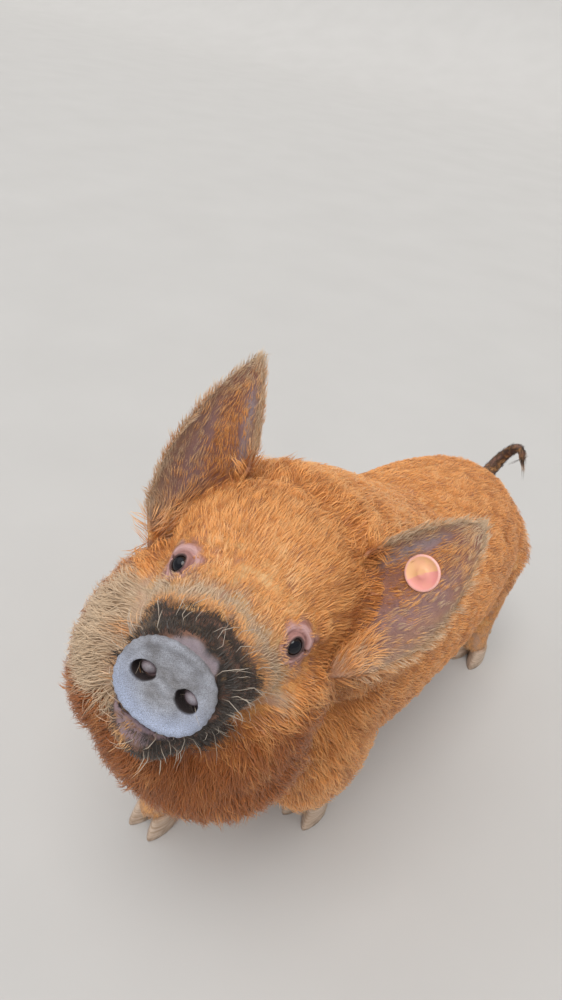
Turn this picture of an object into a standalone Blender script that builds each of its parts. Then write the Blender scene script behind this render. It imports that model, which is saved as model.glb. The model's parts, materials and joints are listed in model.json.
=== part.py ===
"""Life-size still model of a young, short-nosed, shaggy domestic pig.

The pig faces -Y, its left side is +X and it stands on z = 0.  All sizes are in metres.
Flesh is built from named masses at the height of the skin, each with the depth of its short
coat or of the core under its shaggy coat.  The masses are fused into one animal, the locks
of the coat are rooted in it, and it is then parted into nodes that meet face to face.
"""
import math

import bmesh
import bpy
import numpy as np
from mathutils import Matrix, Vector
from mathutils.bvhtree import BVHTree
from mathutils.kdtree import KDTree

# Gap between nodes that meet
GAP = 0.0003

# Share of the shaggy coat's depth that the core under the locks takes
CORE_SHARE = 0.5

# Fusing of the flesh
VOXEL = 0.005
SMOOTH_STEPS = 16
BODY_TRIANGLES = 4300
RING_SIDES = 28
EAST = Vector((1, 0, 0))

# Solver for the Booleans of nodes that carry locks
COATED = "MANIFOLD"

# Edges that turn by more than this look sharp
SHARP_ANGLE = math.radians(40)

# Head: place of the point between the eyes, and how the head is turned, nodded and tilted
HEAD_POINT = Vector((0.047, -0.391, 0.562))
HEAD_TURN = math.radians(19.3)
HEAD_LIFT = math.radians(21.5)
HEAD_TILT = math.radians(18.5)

# Coat depths over the skin
COAT_TORSO = 0.016
COAT_NECK = 0.018
COAT_CHEEK = 0.018
COAT_BROW = 0.006
COAT_MUZZLE = 0.003
COAT_LEG = 0.007
COAT_TAIL = 0.002
CORE_TORSO = COAT_TORSO * CORE_SHARE
CORE_NECK = COAT_NECK * CORE_SHARE
CORE_CHEEK = COAT_CHEEK * CORE_SHARE

# Torso stations along the back: y, centre height, half width, half height
TORSO = (
    (-0.384, 0.284, 0.030, 0.034),
    (-0.368, 0.285, 0.068, 0.078),
    (-0.320, 0.295, 0.108, 0.119),
    (-0.235, 0.312, 0.134, 0.150),
    (-0.125, 0.316, 0.148, 0.160),
    (0.000, 0.301, 0.153, 0.148),
    (0.105, 0.290, 0.150, 0.136),
    (0.200, 0.283, 0.140, 0.123),
    (0.278, 0.276, 0.121, 0.107),
    (0.330, 0.268, 0.090, 0.084),
    (0.354, 0.262, 0.052, 0.052),
    (0.362, 0.260, 0.024, 0.024),
)

# Neck stations: x, y, z, half width, half height
NECK = (
    (0.000, 0.040, 0.312, 0.118, 0.112),
    (0.000, -0.050, 0.348, 0.138, 0.128),
    (0.000, -0.120, 0.384, 0.143, 0.132),
    (0.002, -0.180, 0.422, 0.142, 0.130),
    (0.005, -0.245, 0.470, 0.136, 0.124),
    (0.010, -0.300, 0.518, 0.116, 0.106),
    (0.016, -0.330, 0.542, 0.078, 0.076),
)

# Shoulder and ham, each side: x, y, z and three radii
SHOULDER = ((0.082, -0.240, 0.275), (0.060, 0.085, 0.125))
HAM = ((0.074, 0.256, 0.238), (0.068, 0.086, 0.114))

# Where the top of each leg is rooted: x, y
FORE_ROOT = (0.086, -0.236)
HIND_ROOT = (0.088, 0.262)

# Leg stations from the top down: share of the way from foot to root, shift forward (-)
# or back (+), height, half width and half length
FORE_LEG = (
    (1.00, 0.000, 0.290, 0.050, 0.070),
    (0.90, 0.004, 0.210, 0.045, 0.060),
    (0.58, 0.008, 0.150, 0.033, 0.041),
    (0.38, 0.000, 0.115, 0.0275, 0.0315),
    (0.16, 0.000, 0.082, 0.0215, 0.0240),
    (0.03, 0.002, 0.056, 0.0205, 0.0250),
    (0.00, -0.001, 0.036, 0.0240, 0.0285),
    (0.00, -0.004, 0.010, 0.0245, 0.0290),
)
HIND_LEG = (
    (1.00, 0.000, 0.270, 0.056, 0.084),
    (0.90, 0.006, 0.205, 0.047, 0.068),
    (0.50, 0.034, 0.150, 0.031, 0.042),
    (0.30, 0.038, 0.122, 0.0250, 0.0320),
    (0.12, 0.020, 0.084, 0.0215, 0.0250),
    (0.03, 0.006, 0.056, 0.0210, 0.0260),
    (0.00, 0.001, 0.036, 0.0240, 0.0285),
    (0.00, -0.004, 0.010, 0.0245, 0.0290),
)

# Where each foot stands: x, y
FEET = {
    "fore_left": (0.064, -0.172),
    "fore_right": (-0.090, -0.332),
    "hind_left": (0.112, 0.292),
    "hind_right": (-0.108, 0.262),
}

# Planes that part the head and the neck: points in the head's frame, then the neck's plane
POLL_POINT = Vector((0, 0.125, 0.070))
THROAT_POINT = Vector((0, 0.112, -0.150))
WITHERS_POINT = Vector((0, -0.125, 0.500))
NECK_PLANE = Vector((0, -0.70, 0.72))
ZONE_REACH = 0.6

# Box that parts each leg from the trunk, relative to its foot
LEG_ZONE_SIZE = Vector((0.220, 0.200, 0.250))
LEG_ZONE_CENTRE = Vector((0.032, 0.010, 0.072))
LEG_ZONE_TOP = 0.200
LEG_ZONE_LEAN = math.radians(24)

# Hooves: height of the coronet, then each claw's sizes.  Each ring of a claw is its share
# of the height and of the half width, and the shares of the length before and behind
CORONET = 0.032
CLAW_RINGS = (
    (0.0, 1.00, 0.60, 0.40),
    (0.2, 1.00, 0.59, 0.41),
    (0.6, 0.93, 0.48, 0.41),
    (1.0, 0.84, 0.37, 0.40),
)
CLAW_SPREAD = 0.0152
CLAW_SIDES = 10
CLAW_HALF_WIDTH = 0.0142
CLAW_LENGTH = 0.062
CLAW_TAPER = 0.30
CLAW_SPLAY = math.radians(5)
HEEL_BRIDGE = Vector((0.028, 0.026, 0.016))
HEEL_BACK = 0.006
DEWCLAW_DROP = 0.052
DEWCLAW_SPREAD = 0.013
DEWCLAW_BACK = 0.027
DEWCLAW_RADII = Vector((0.0058, 0.0085, 0.0105))
DEWCLAW_LEAN = math.radians(38)

# Head masses in the head's own frame: centre, radii, coat
CRANIUM = ((0.0, 0.076, 0.006), (0.092, 0.086, 0.078), COAT_BROW)
THROAT = ((0.020, 0.056, -0.142), (0.108, 0.084, 0.096), CORE_CHEEK)
JAW = ((0.0, 0.004, -0.085), (0.062, 0.076, 0.044), CORE_CHEEK)
CHIN = ((0.0, -0.070, -0.079), (0.031, 0.036, 0.019), COAT_MUZZLE)
CHEEK = ((0.054, 0.046, -0.104), (0.062, 0.074, 0.104), CORE_CHEEK)
BROW = ((0.050, 0.016, 0.012), (0.028, 0.022, 0.016), COAT_MUZZLE)
LID_MOUND = ((0.054, 0.010, -0.001), (0.021, 0.018, 0.018), 0.0)

# Muzzle stations in the head's frame: y, z, half width, half height
MUZZLE = (
    (0.040, -0.020, 0.082, 0.064),
    (0.000, -0.027, 0.070, 0.054),
    (-0.035, -0.033, 0.058, 0.046),
    (-0.072, -0.035, 0.049, 0.041),
    (-0.102, -0.032, 0.042, 0.037),
    (-0.113, -0.030, 0.030, 0.028),
)

# Snout disc: centre, half sizes and slope of its face.  Each ring from back to front is the
# depth behind the face and the share of the full size
DISC_CENTRE = Vector((-0.0030, -0.1200, -0.0300))
DISC_HALF_WIDTH = 0.0400
DISC_HALF_HEIGHT = 0.0345
DISC_SLOPE = math.radians(5)
DISC_SQUARE = 0.88
DISC_SIDES = 22
DISC_RINGS = (
    (0.0130, 0.80),
    (0.0078, 0.97),
    (0.0031, 1.00),
    (0.0007, 0.94),
    (0.0000, 0.86),
    (0.0018, 0.60),
)

# Nostrils: place on the disc, radii and slant
NOSTRIL_PLACE = (0.0188, 0.0020, 0.0015)
NOSTRIL_RADII = Vector((0.0050, 0.0120, 0.0072))
NOSTRIL_SLANT = math.radians(28)

# Mouth: height of the line, its half angle around the muzzle, groove and lip
MOUTH_HEIGHT = -0.0700
MOUTH_AXIS_Y = -0.048
MOUTH_ANGLE = math.radians(82)
MOUTH_STEPS = 11
MOUTH_RISE = 0.006
GROOVE_RADIUS = 0.0021
LIP_RADIUS = 0.0042
LIP_LOWER = 1.1
LIP_FLAT = 0.8
GROOVE_FLAT = 1.7
MOUTH_END_SHARE = 0.35
MOUTH_SIDES = 6

# Eyes: radius, aim of each eye, how far it stands proud, and the lids
EYE_RADIUS = 0.0118
EYE_AIM = Vector((0.52, -0.80, 0.26))
EYE_PLACE = Vector((0.0525, 0.0, -0.001))
EYE_PROUD = 0.0030
LID_HALF_WIDTH = 0.0100
LID_OPEN_UP = 0.0068
LID_OPEN_DOWN = 0.0060
LID_RADIUS = 0.0030
LID_STEPS = 7
LID_SIDES = 6
LID_CORNER = 1.12
LID_SEAT = 0.7
LID_END_SHARE = 0.5
LID_CLEAR = 0.0006

# Ears in the head's frame: margins from base to tip as points of a smooth curve
EAR_INNER = {
    "left": (
        (0.068, 0.086, 0.078),
        (0.084, 0.088, 0.112),
        (0.104, 0.088, 0.142),
        (0.134, 0.090, 0.158),
    ),
    "right": (
        (-0.068, 0.086, 0.078),
        (-0.078, 0.086, 0.116),
        (-0.096, 0.088, 0.152),
        (-0.112, 0.090, 0.170),
    ),
}
EAR_OUTER = {
    "left": (
        (0.112, 0.040, -0.018),
        (0.160, 0.050, 0.020),
        (0.172, 0.066, 0.082),
        (0.140, 0.088, 0.156),
    ),
    "right": (
        (-0.108, 0.040, -0.016),
        (-0.142, 0.044, 0.024),
        (-0.146, 0.064, 0.098),
        (-0.117, 0.088, 0.170),
    ),
}
EAR_CUP = 0.040
EAR_BOW = 0.8
EAR_FLATTEN = 1.1
EAR_DRAW_IN = 1.2
EAR_THICKNESS = 0.0050
EAR_ROOT = 0.14
EAR_ROOT_GROW = 8
EAR_STEPS = 13
EAR_ACROSS = 7
EAR_PROBE_ALONG = 0.02
EAR_PROBE_ACROSS = 0.03

# Ear tag: a round button, its pin and its back plate
TAG_PLACE = (0.46, 0.45)
TAG_RADIUS = 0.0175
TAG_THICKNESS = 0.0024
TAG_PIN_RADIUS = 0.0030
TAG_BACK_RADIUS = 0.0120
TAG_BACK_THICKNESS = 0.0020
TAG_BEVEL = 0.0010
TAG_LIFT = 0.0036
TAG_PROBE = 0.05
TAG_SIDES = 16

# Tail: stations from the root to the tip: x, y, z, radius
TAIL = (
    (0.000, 0.345, 0.290, 0.0150),
    (0.001, 0.378, 0.306, 0.0135),
    (0.006, 0.402, 0.328, 0.0115),
    (0.016, 0.412, 0.354, 0.0095),
    (0.030, 0.406, 0.378, 0.0080),
    (0.045, 0.392, 0.388, 0.0065),
    (0.056, 0.376, 0.382, 0.0045),
)

# Locks of the shaggy coat: share of the length, height of the underside over the core and
# share of the width at each station; the first is sunk into the core
LOCK_STATIONS = ((0.16, 0.0010, 0.40), (0.42, 0.0030, 1.00), (0.72, 0.0046, 0.86))
LOCK_ROOT_DEPTH = 0.0070
LOCK_TIP_HEIGHT = 0.0085
LOCK_RIDGE = 0.0042
LOCK_FORK = (0.26, 0.80, -0.34, 0.90)
LOCK_SWAY = 0.14
FOLLOW_REACH = 0.010
LOCK_SHARES = (1.0, 0.75, 0.55)
LOCK_SEED = 11
COAT_RATIO = 0.625
TOUCH = 0.000005
TOUCH_GAP = 0.00008

# Locks round the trunk: rows from shoulder to rump, locks in a ring and their size
TRUNK_ROWS = 8
TRUNK_START = -0.235
TRUNK_STEP = 0.080
TRUNK_AROUND = 12
TRUNK_BARE = math.radians(150)
TRUNK_CREST = math.radians(45)
TRUNK_CREST_START = -0.100
TRUNK_LOCK = (0.118, 0.068)
TRUNK_LIE = Vector((0.0, 1.0, -0.22))

# Locks round the neck: rows from withers to poll
NECK_ROWS = 3
NECK_LOW = Vector((0.0, -0.140, 0.395))
NECK_HIGH = Vector((0.012, -0.285, 0.505))
NECK_AROUND = 10
NECK_BARE = math.radians(125)
NECK_LOCK = (0.112, 0.062)
NECK_LIE = Vector((0.0, 0.75, -0.62))

# How far from the middle of the trunk, head and legs the search for each root starts
TRUNK_SEARCH = 0.4
HEAD_SEARCH = 0.3
LEG_SEARCH = 0.25

# Locks on the chest: turn and tilt of each from the middle of the chest
CHEST_MIDDLE = Vector((0.0, -0.220, 0.300))
CHEST_TURNS = (-60, -20, 20, 60)
CHEST_TILTS = (-38, -4)
CHEST_LOCK = (0.090, 0.052)
CHEST_LIE = Vector((0.0, 0.15, -1.0))

# Locks on each cheek: turn from the nose and tilt, in the head's frame
HEAD_MIDDLE = Vector((0.0, 0.050, -0.085))
CHEEK_TURNS = (42, 74, 106)
CHEEK_TILTS = (-48, -22, 4)
CHEEK_LOCK = (0.080, 0.046)
CHEEK_LIE = Vector((0.30, 0.80, -0.50))
THROAT_TURNS = (-54, -18, 18, 54)
THROAT_TILTS = (-66, -44)
THROAT_LIE = Vector((0.0, 0.50, -0.85))
HEAD_STAGGER = 12

# Locks behind and outside each leg: angle round the leg from its front, and heights
LEG_LOCK_ANGLES = (85, 150)
LEG_LOCK_HEIGHTS = (0.170, 0.125)
LEG_LOCK = (0.058, 0.032)
LEG_LIE = Vector((0.0, 0.25, -1.0))
LEG_STAGGER = 18

# Fringe of each ear: reach of its small locks past the margin and first row that has one
EAR_FRINGE = 0.0110
EAR_FRINGE_START = 3
EAR_FRINGE_FADE = 4
EAR_FRINGE_LEAN = 0.5
EAR_FRINGE_SHARE = 0.4

# Sides and tuft of the tail
TAIL_SIDES = 10
TAIL_LOCK = (0.034, 0.012)
TAIL_LOCK_SPREAD = 0.30
TAIL_LOCK_THICK = 0.3
TAIL_LOCK_MIDDLE = 0.55
TAIL_LOCK_ENDS = (1.10, 1.02, 0.94, 0.86)
TAIL_LOCK_SUNK = 0.004

# Colours: slot name, colour, roughness, metallic
FINISHES = {
    "ginger_coat": ((0.55, 0.25, 0.09), 0.85, 0.0),
    "dark_coat": ((0.22, 0.16, 0.12), 0.85, 0.0),
    "horn": ((0.62, 0.49, 0.38), 0.45, 0.0),
    "eye": ((0.03, 0.02, 0.02), 0.08, 0.0),
    "tag_plastic": ((0.83, 0.42, 0.46), 0.40, 0.0),
}


def clear_scene():
    """Remove every object of the opening scene."""
    for obj in list(bpy.data.objects):
        bpy.data.objects.remove(obj, do_unlink=True)


def finish(name):
    """Return the named Principled material, made once."""
    if name in bpy.data.materials:
        return bpy.data.materials[name]
    colour, roughness, metallic = FINISHES[name]
    material = bpy.data.materials.new(name)
    material.use_nodes = True
    shader = material.node_tree.nodes["Principled BSDF"]
    shader.inputs["Base Color"].default_value = (*colour, 1.0)
    shader.inputs["Roughness"].default_value = roughness
    shader.inputs["Metallic"].default_value = metallic
    return material


def mesh_object(name, points, faces, slot="ginger_coat"):
    """Make an object from points and faces, with its normals outward."""
    mesh = bpy.data.meshes.new(name)
    mesh.from_pydata([tuple(point) for point in points], [], faces)
    build = bmesh.new()
    build.from_mesh(mesh)
    bmesh.ops.recalc_face_normals(build, faces=build.faces)
    if build.calc_volume(signed=True) < 0:
        bmesh.ops.reverse_faces(build, faces=build.faces)
    build.to_mesh(mesh)
    build.free()
    obj = bpy.data.objects.new(name, mesh)
    bpy.context.scene.collection.objects.link(obj)
    mesh.materials.append(finish(slot))
    return obj


def ring_faces(rings, sides):
    """Return the faces of a closed tube of equal rings, capped at both ends."""
    faces = []
    for ring in range(rings - 1):
        for side in range(sides):
            after = (side + 1) % sides
            low = ring * sides
            high = low + sides
            faces.append((low + side, low + after, high + after))
            faces.append((low + side, high + after, high + side))
    faces.append(tuple(range(sides)))
    faces.append(tuple(range((rings - 1) * sides, rings * sides)))
    return faces


def tube(name, stations, across, slot="ginger_coat", sides=RING_SIDES):
    """Loft a closed tube through stations of (centre, half width, half height).

    The half width runs along the given across direction as far as the path allows.
    """
    points = []
    centres = [Vector(centre) for centre, _, _ in stations]
    for index, (_, half_width, half_height) in enumerate(stations):
        before = centres[max(index - 1, 0)]
        after = centres[min(index + 1, len(centres) - 1)]
        along = (after - before).normalized()
        wide = (across - along * across.dot(along)).normalized()
        high = along.cross(wide)
        for side in range(sides):
            angle = 2 * math.pi * side / sides
            offset = wide * (half_width * math.cos(angle)) + high * (half_height * math.sin(angle))
            points.append(centres[index] + offset)
    return mesh_object(name, points, ring_faces(len(stations), sides), slot)


def ball(name, centre, radii, slot="ginger_coat", turn=None, subdivisions=3):
    """Make a closed ellipsoid with the given radii."""
    build = bmesh.new()
    bmesh.ops.create_icosphere(build, subdivisions=subdivisions, radius=1.0)
    shape = Matrix.Diagonal((*radii, 1.0))
    frame = Matrix.Translation(centre) @ (turn or Matrix.Identity(4)) @ shape
    bmesh.ops.transform(build, matrix=frame, verts=build.verts)
    points = [vert.co.copy() for vert in build.verts]
    faces = [tuple(vert.index for vert in face.verts) for face in build.faces]
    build.free()
    return mesh_object(name, points, faces, slot)


def box(name, centre, size, turn=None):
    """Make a closed box, used to part one node from another."""
    build = bmesh.new()
    bmesh.ops.create_cube(build, size=1.0)
    shape = Matrix.Diagonal((*size, 1.0))
    frame = Matrix.Translation(centre) @ (turn or Matrix.Identity(4)) @ shape
    bmesh.ops.transform(build, matrix=frame, verts=build.verts)
    points = [vert.co.copy() for vert in build.verts]
    faces = [tuple(vert.index for vert in face.verts) for face in build.faces]
    build.free()
    return mesh_object(name, points, faces)


def settle(obj):
    """Apply the object's modifiers to its mesh."""
    graph = bpy.context.evaluated_depsgraph_get()
    mesh = bpy.data.meshes.new_from_object(obj.evaluated_get(graph), depsgraph=graph)
    old = obj.data
    obj.modifiers.clear()
    obj.data = mesh
    bpy.data.meshes.remove(old)
    return obj


def join(name, objects, slot="ginger_coat"):
    """Put several closed meshes into one object and remove the others."""
    points = []
    faces = []
    for obj in objects:
        start = len(points)
        points.extend(vert.co.copy() for vert in obj.data.vertices)
        faces.extend(tuple(start + index for index in face.vertices) for face in obj.data.polygons)
        bpy.data.objects.remove(obj, do_unlink=True)
    return mesh_object(name, points, faces, slot)


def combine(obj, cutter, operation, solver="EXACT"):
    """Apply one Boolean to obj with cutter, and remove the cutter."""
    step = obj.modifiers.new(operation.lower(), "BOOLEAN")
    step.operation = operation
    step.solver = solver
    step.object = cutter
    settle(obj)
    bpy.data.objects.remove(cutter, do_unlink=True)
    return largest_surface(obj)


def largest_surface(obj):
    """Keep only the largest closed surface of the mesh."""
    build = bmesh.new()
    build.from_mesh(obj.data)
    build.verts.ensure_lookup_table()
    seen = set()
    islands = []
    for start in build.verts:
        if start.index in seen:
            continue
        island = []
        stack = [start]
        seen.add(start.index)
        while stack:
            vert = stack.pop()
            island.append(vert)
            for edge in vert.link_edges:
                other = edge.other_vert(vert)
                if other.index not in seen:
                    seen.add(other.index)
                    stack.append(other)
        islands.append(island)
    islands.sort(key=len)
    spare = [vert for island in islands[:-1] for vert in island]
    if spare:
        bmesh.ops.delete(build, geom=spare, context="VERTS")
        build.to_mesh(obj.data)
    build.free()
    return obj


def copy_of(obj, name):
    """Return a copy of the object with a mesh of its own."""
    twin = obj.copy()
    twin.data = obj.data.copy()
    twin.name = name
    bpy.context.scene.collection.objects.link(twin)
    return twin


def fuse(name, masses):
    """Fuse overlapping masses into one smooth closed surface."""
    obj = join(name, masses)
    remesh = obj.modifiers.new("fuse", "REMESH")
    remesh.mode = "VOXEL"
    remesh.voxel_size = VOXEL
    smooth = obj.modifiers.new("smooth", "SMOOTH")
    smooth.factor = 0.5
    smooth.iterations = SMOOTH_STEPS
    settle(obj)
    sparser = obj.modifiers.new("sparser", "DECIMATE")
    sparser.ratio = BODY_TRIANGLES / (2 * len(obj.data.polygons))
    return settle(obj)


def head_frame():
    """Return the matrix from the head's frame to the whole animal's."""
    turn = Matrix.Rotation(HEAD_TURN, 4, "Z")
    lift = Matrix.Rotation(-HEAD_LIFT, 4, "X")
    tilt = Matrix.Rotation(HEAD_TILT, 4, "Y")
    return Matrix.Translation(HEAD_POINT) @ turn @ lift @ tilt


def mirrored(values, side):
    """Return a vector with x times the side, which is 1 for left and -1 for right."""
    return Vector((values[0] * side, values[1], values[2]))


def head_ball(name, mass, side=1):
    """Make one head mass, grown by its coat, in the whole animal's frame."""
    centre, radii, coat = mass
    grown = [radius + coat for radius in radii]
    obj = ball(name, mirrored(centre, side), grown)
    obj.data.transform(head_frame())
    return obj


def leg_root(foot):
    """Return the place where the top of a leg is rooted: x, y."""
    root_x, root_y = FORE_ROOT if foot.startswith("fore") else HIND_ROOT
    return root_x * side_of(foot), root_y


def side_of(foot):
    """Return 1 for a left foot and -1 for a right one."""
    return 1 if foot.endswith("left") else -1


def body_masses():
    """Return the masses of the trunk, neck and legs."""
    trunk = [((0, y, z), wide + CORE_TORSO, high + CORE_TORSO) for y, z, wide, high in TORSO]
    neck = [((x, y, z), wide + CORE_NECK, high + CORE_NECK) for x, y, z, wide, high in NECK]
    masses = [tube("trunk", trunk, EAST), tube("neck_mass", neck, EAST)]
    for foot, (foot_x, foot_y) in FEET.items():
        stations = FORE_LEG if foot.startswith("fore") else HIND_LEG
        centre, radii = SHOULDER if foot.startswith("fore") else HAM
        muscle = [radius + CORE_TORSO for radius in radii]
        masses.append(ball("muscle_" + foot, mirrored(centre, side_of(foot)), muscle))
        root_x, root_y = leg_root(foot)
        leg = []
        for share, shift, z, wide, long in stations:
            x = foot_x + (root_x - foot_x) * share
            y = foot_y + (root_y - foot_y) * share + shift
            leg.append(((x, y, z), wide + COAT_LEG, long + COAT_LEG))
        masses.append(tube("limb_" + foot, leg, EAST))
    return masses


def head_masses():
    """Return the masses of the head."""
    masses = [head_ball("cranium", CRANIUM), head_ball("throat", THROAT)]
    masses += [head_ball("jaw", JAW), head_ball("chin", CHIN)]
    for side in (1, -1):
        masses.append(head_ball("cheek", CHEEK, side))
        masses.append(head_ball("brow", BROW, side))
        masses.append(head_ball("lid_mound", LID_MOUND, side))
    stations = [((0, y, z), wide + COAT_MUZZLE, high + COAT_MUZZLE) for y, z, wide, high in MUZZLE]
    muzzle = tube("muzzle", stations, EAST)
    muzzle.data.transform(head_frame())
    return masses + [muzzle]


def surface_finder(obj):
    """Return a function giving the point where a line first meets the object."""
    build = bmesh.new()
    build.from_mesh(obj.data)
    tree = BVHTree.FromBMesh(build)
    build.free()

    def find(start, direction):
        place, normal, _, _ = tree.ray_cast(start, direction.normalized())
        return place, normal

    return find


def surface_follower(obj):
    """Return a function giving the nearest point of the object and the normal round it."""
    build = bmesh.new()
    build.from_mesh(obj.data)
    tree = BVHTree.FromBMesh(build)
    build.free()

    def follow(point):
        place, _, _, _ = tree.find_nearest(point)
        near = tree.find_nearest_range(place, FOLLOW_REACH)
        smooth = sum((found[1] for found in near), Vector()).normalized()
        return place, smooth

    return follow


def blade(root, stations, tips):
    """Make a flat lock with a ridged back from its root, through stations, to its end.

    Each station is (centre, wide, high).  The end is one tip, or a left tip, a notch and
    a right tip.
    """
    points = []
    for centre, wide, high in stations:
        points += [centre - wide, centre + high, centre + wide]
    points += tips
    start = len(points)
    points.append(root)
    faces = [(0, 1, start), (1, 2, start), (2, 0, start)]
    for ring in range(len(stations) - 1):
        for side in range(3):
            low = ring * 3 + side
            low_after = ring * 3 + (side + 1) % 3
            faces.append((low, low_after, low_after + 3))
            faces.append((low, low_after + 3, low + 3))
    left = (len(stations) - 1) * 3
    ridge = left + 1
    right = left + 2
    end = right + 1
    if len(tips) == 1:
        faces += [(left, ridge, end), (ridge, right, end), (right, left, end)]
    else:
        notch = end + 1
        other = end + 2
        faces += [(left, end, notch), (left, notch, right), (notch, other, right)]
        faces += [(left, ridge, end), (end, ridge, notch), (notch, ridge, other), (other, ridge, right)]
    return mesh_object("lock", points, faces)


def crosses_itself(obj):
    """Say whether two faces of the object that share no corner cross."""
    build = bmesh.new()
    build.from_mesh(obj.data)
    build.faces.ensure_lookup_table()
    tree = BVHTree.FromBMesh(build)
    corners = [{vert.index for vert in face.verts} for face in build.faces]
    build.free()
    return any(not corners[one] & corners[other] for one, other in tree.overlap(tree))


def lock(follow, root, lie, size, sway, turn):
    """Make one lock that lies along the surface from its root and bends to one side."""
    length, width = size
    place, normal = root
    along = (lie - normal * lie.dot(normal)).normalized()
    across = normal.cross(along).normalized()

    def spot(share, aside, height):
        """Return a point over the surface, its share along the lock and aside from it."""
        shift = length * sway * share * share + width * aside
        here, up = follow(place + along * (length * share) + across * shift)
        return here + up * height, up

    stations = []
    for share, height, wide in LOCK_STATIONS:
        centre, up = spot(share, 0.0, height)
        stations.append((centre, across * (width * wide / 2), up * LOCK_RIDGE))
    long_aside, notch_share, short_aside, short_share = LOCK_FORK
    tips = [
        spot(1.0, -long_aside * turn, LOCK_TIP_HEIGHT)[0],
        spot(notch_share, 0.0, LOCK_TIP_HEIGHT)[0],
        spot(short_share, -short_aside * turn, LOCK_TIP_HEIGHT)[0],
    ]
    if turn < 0:
        tips.reverse()
    return blade(spot(0.0, 0.0, -LOCK_ROOT_DEPTH)[0], stations, tips)


def fitting_lock(follow, draw, root, lie, size):
    """Make one lock of drawn size, shorter where the flesh turns sharply, or none."""
    length = size[0] * draw.uniform(0.88, 1.12)
    width = size[1] * draw.uniform(0.88, 1.12)
    sway = draw.uniform(-LOCK_SWAY, LOCK_SWAY)
    turn = draw.choice((-1.0, 1.0))
    for share in LOCK_SHARES:
        piece = lock(follow, root, lie, (length * share, width * share), sway * share, turn)
        if not crosses_itself(piece):
            return piece
        bpy.data.objects.remove(piece, do_unlink=True)
    return None


def direction(turn, tilt):
    """Return the direction turned from -Y towards +X and tilted up, in degrees."""
    turn = math.radians(turn)
    tilt = math.radians(tilt)
    level = math.cos(tilt)
    return Vector((math.sin(turn) * level, -math.cos(turn) * level, math.sin(tilt)))


def trunk_height(y):
    """Return the height of the middle of the trunk at y."""
    places = [station[0] for station in TORSO]
    heights = [station[1] for station in TORSO]
    return float(np.interp(y, places, heights))


def trunk_roots(find):
    """Return root and lie of every lock round the trunk."""
    roots = []
    for row in range(TRUNK_ROWS):
        y = TRUNK_START + row * TRUNK_STEP
        middle = Vector((0, y, trunk_height(y)))
        for index in range(TRUNK_AROUND):
            angle = (index + 0.5 * (row % 2)) * 2 * math.pi / TRUNK_AROUND
            from_top = math.pi - abs(angle % (2 * math.pi) - math.pi)
            if from_top > TRUNK_BARE or (y < TRUNK_CREST_START and from_top < TRUNK_CREST):
                continue
            outward = Vector((math.sin(angle), 0, math.cos(angle)))
            roots.append((find(middle + outward * TRUNK_SEARCH, -outward), TRUNK_LIE, TRUNK_LOCK))
    return roots


def neck_roots(find):
    """Return root and lie of every lock round the neck."""
    roots = []
    axis = (NECK_HIGH - NECK_LOW).normalized()
    above = EAST.cross(axis)
    if above.z < 0:
        above = -above
    for row in range(NECK_ROWS):
        middle = NECK_LOW.lerp(NECK_HIGH, row / (NECK_ROWS - 1))
        for index in range(NECK_AROUND):
            angle = (index + 0.5 * (row % 2)) * 2 * math.pi / NECK_AROUND
            if math.cos(angle) < math.cos(NECK_BARE):
                continue
            outward = EAST * math.sin(angle) + above * math.cos(angle)
            roots.append((find(middle + outward * TRUNK_SEARCH, -outward), NECK_LIE, NECK_LOCK))
    return roots


def head_roots(find):
    """Return root and lie of every lock on the cheeks and throat."""
    frame = head_frame()
    turn = frame.to_3x3()
    middle = frame @ HEAD_MIDDLE
    roots = []
    for side in (1, -1):
        for row, angle in enumerate(CHEEK_TURNS):
            for tilt in CHEEK_TILTS:
                outward = turn @ direction(angle * side, tilt + HEAD_STAGGER * (row % 2))
                root = find(middle + outward * HEAD_SEARCH, -outward)
                roots.append((root, turn @ mirrored(CHEEK_LIE, side), CHEEK_LOCK))
    for row, tilt in enumerate(THROAT_TILTS):
        for angle in THROAT_TURNS:
            outward = turn @ direction(angle + HEAD_STAGGER * (row % 2), tilt)
            root = find(middle + outward * HEAD_SEARCH, -outward)
            roots.append((root, turn @ THROAT_LIE, CHEEK_LOCK))
    return roots


def chest_roots(find):
    """Return root and lie of every lock on the chest."""
    roots = []
    for row, tilt in enumerate(CHEST_TILTS):
        for angle in CHEST_TURNS:
            outward = direction(angle + HEAD_STAGGER * (row % 2), tilt)
            root = find(CHEST_MIDDLE + outward * HEAD_SEARCH, -outward)
            roots.append((root, CHEST_LIE, CHEST_LOCK))
    return roots


def leg_roots(find):
    """Return root and lie of every lock on the upper legs."""
    roots = []
    for foot, (foot_x, foot_y) in FEET.items():
        root_x, root_y = leg_root(foot)
        for row, height in enumerate(LEG_LOCK_HEIGHTS):
            share = min(height / LEG_ZONE_TOP, 1.0)
            x = foot_x + (root_x - foot_x) * share
            y = foot_y + (root_y - foot_y) * share
            for angle in LEG_LOCK_ANGLES:
                outward = direction((angle + LEG_STAGGER * row) * side_of(foot), 0)
                middle = Vector((x, y, height))
                roots.append((find(middle + outward * LEG_SEARCH, -outward), LEG_LIE, LEG_LOCK))
    return roots


def grow_coat(body):
    """Root every lock of the shaggy coat in the body and fuse them with it."""
    find = surface_finder(body)
    follow = surface_follower(body)
    draw = np.random.default_rng(LOCK_SEED)
    roots = trunk_roots(find) + neck_roots(find) + head_roots(find)
    roots += chest_roots(find) + leg_roots(find)
    locks = [fitting_lock(follow, draw, root, lie, size) for root, lie, size in roots if root[0]]
    fuse_locks(body, [piece for piece in locks if piece])
    sparser = body.modifiers.new("sparser", "DECIMATE")
    sparser.ratio = COAT_RATIO
    return settle(body)


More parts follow.
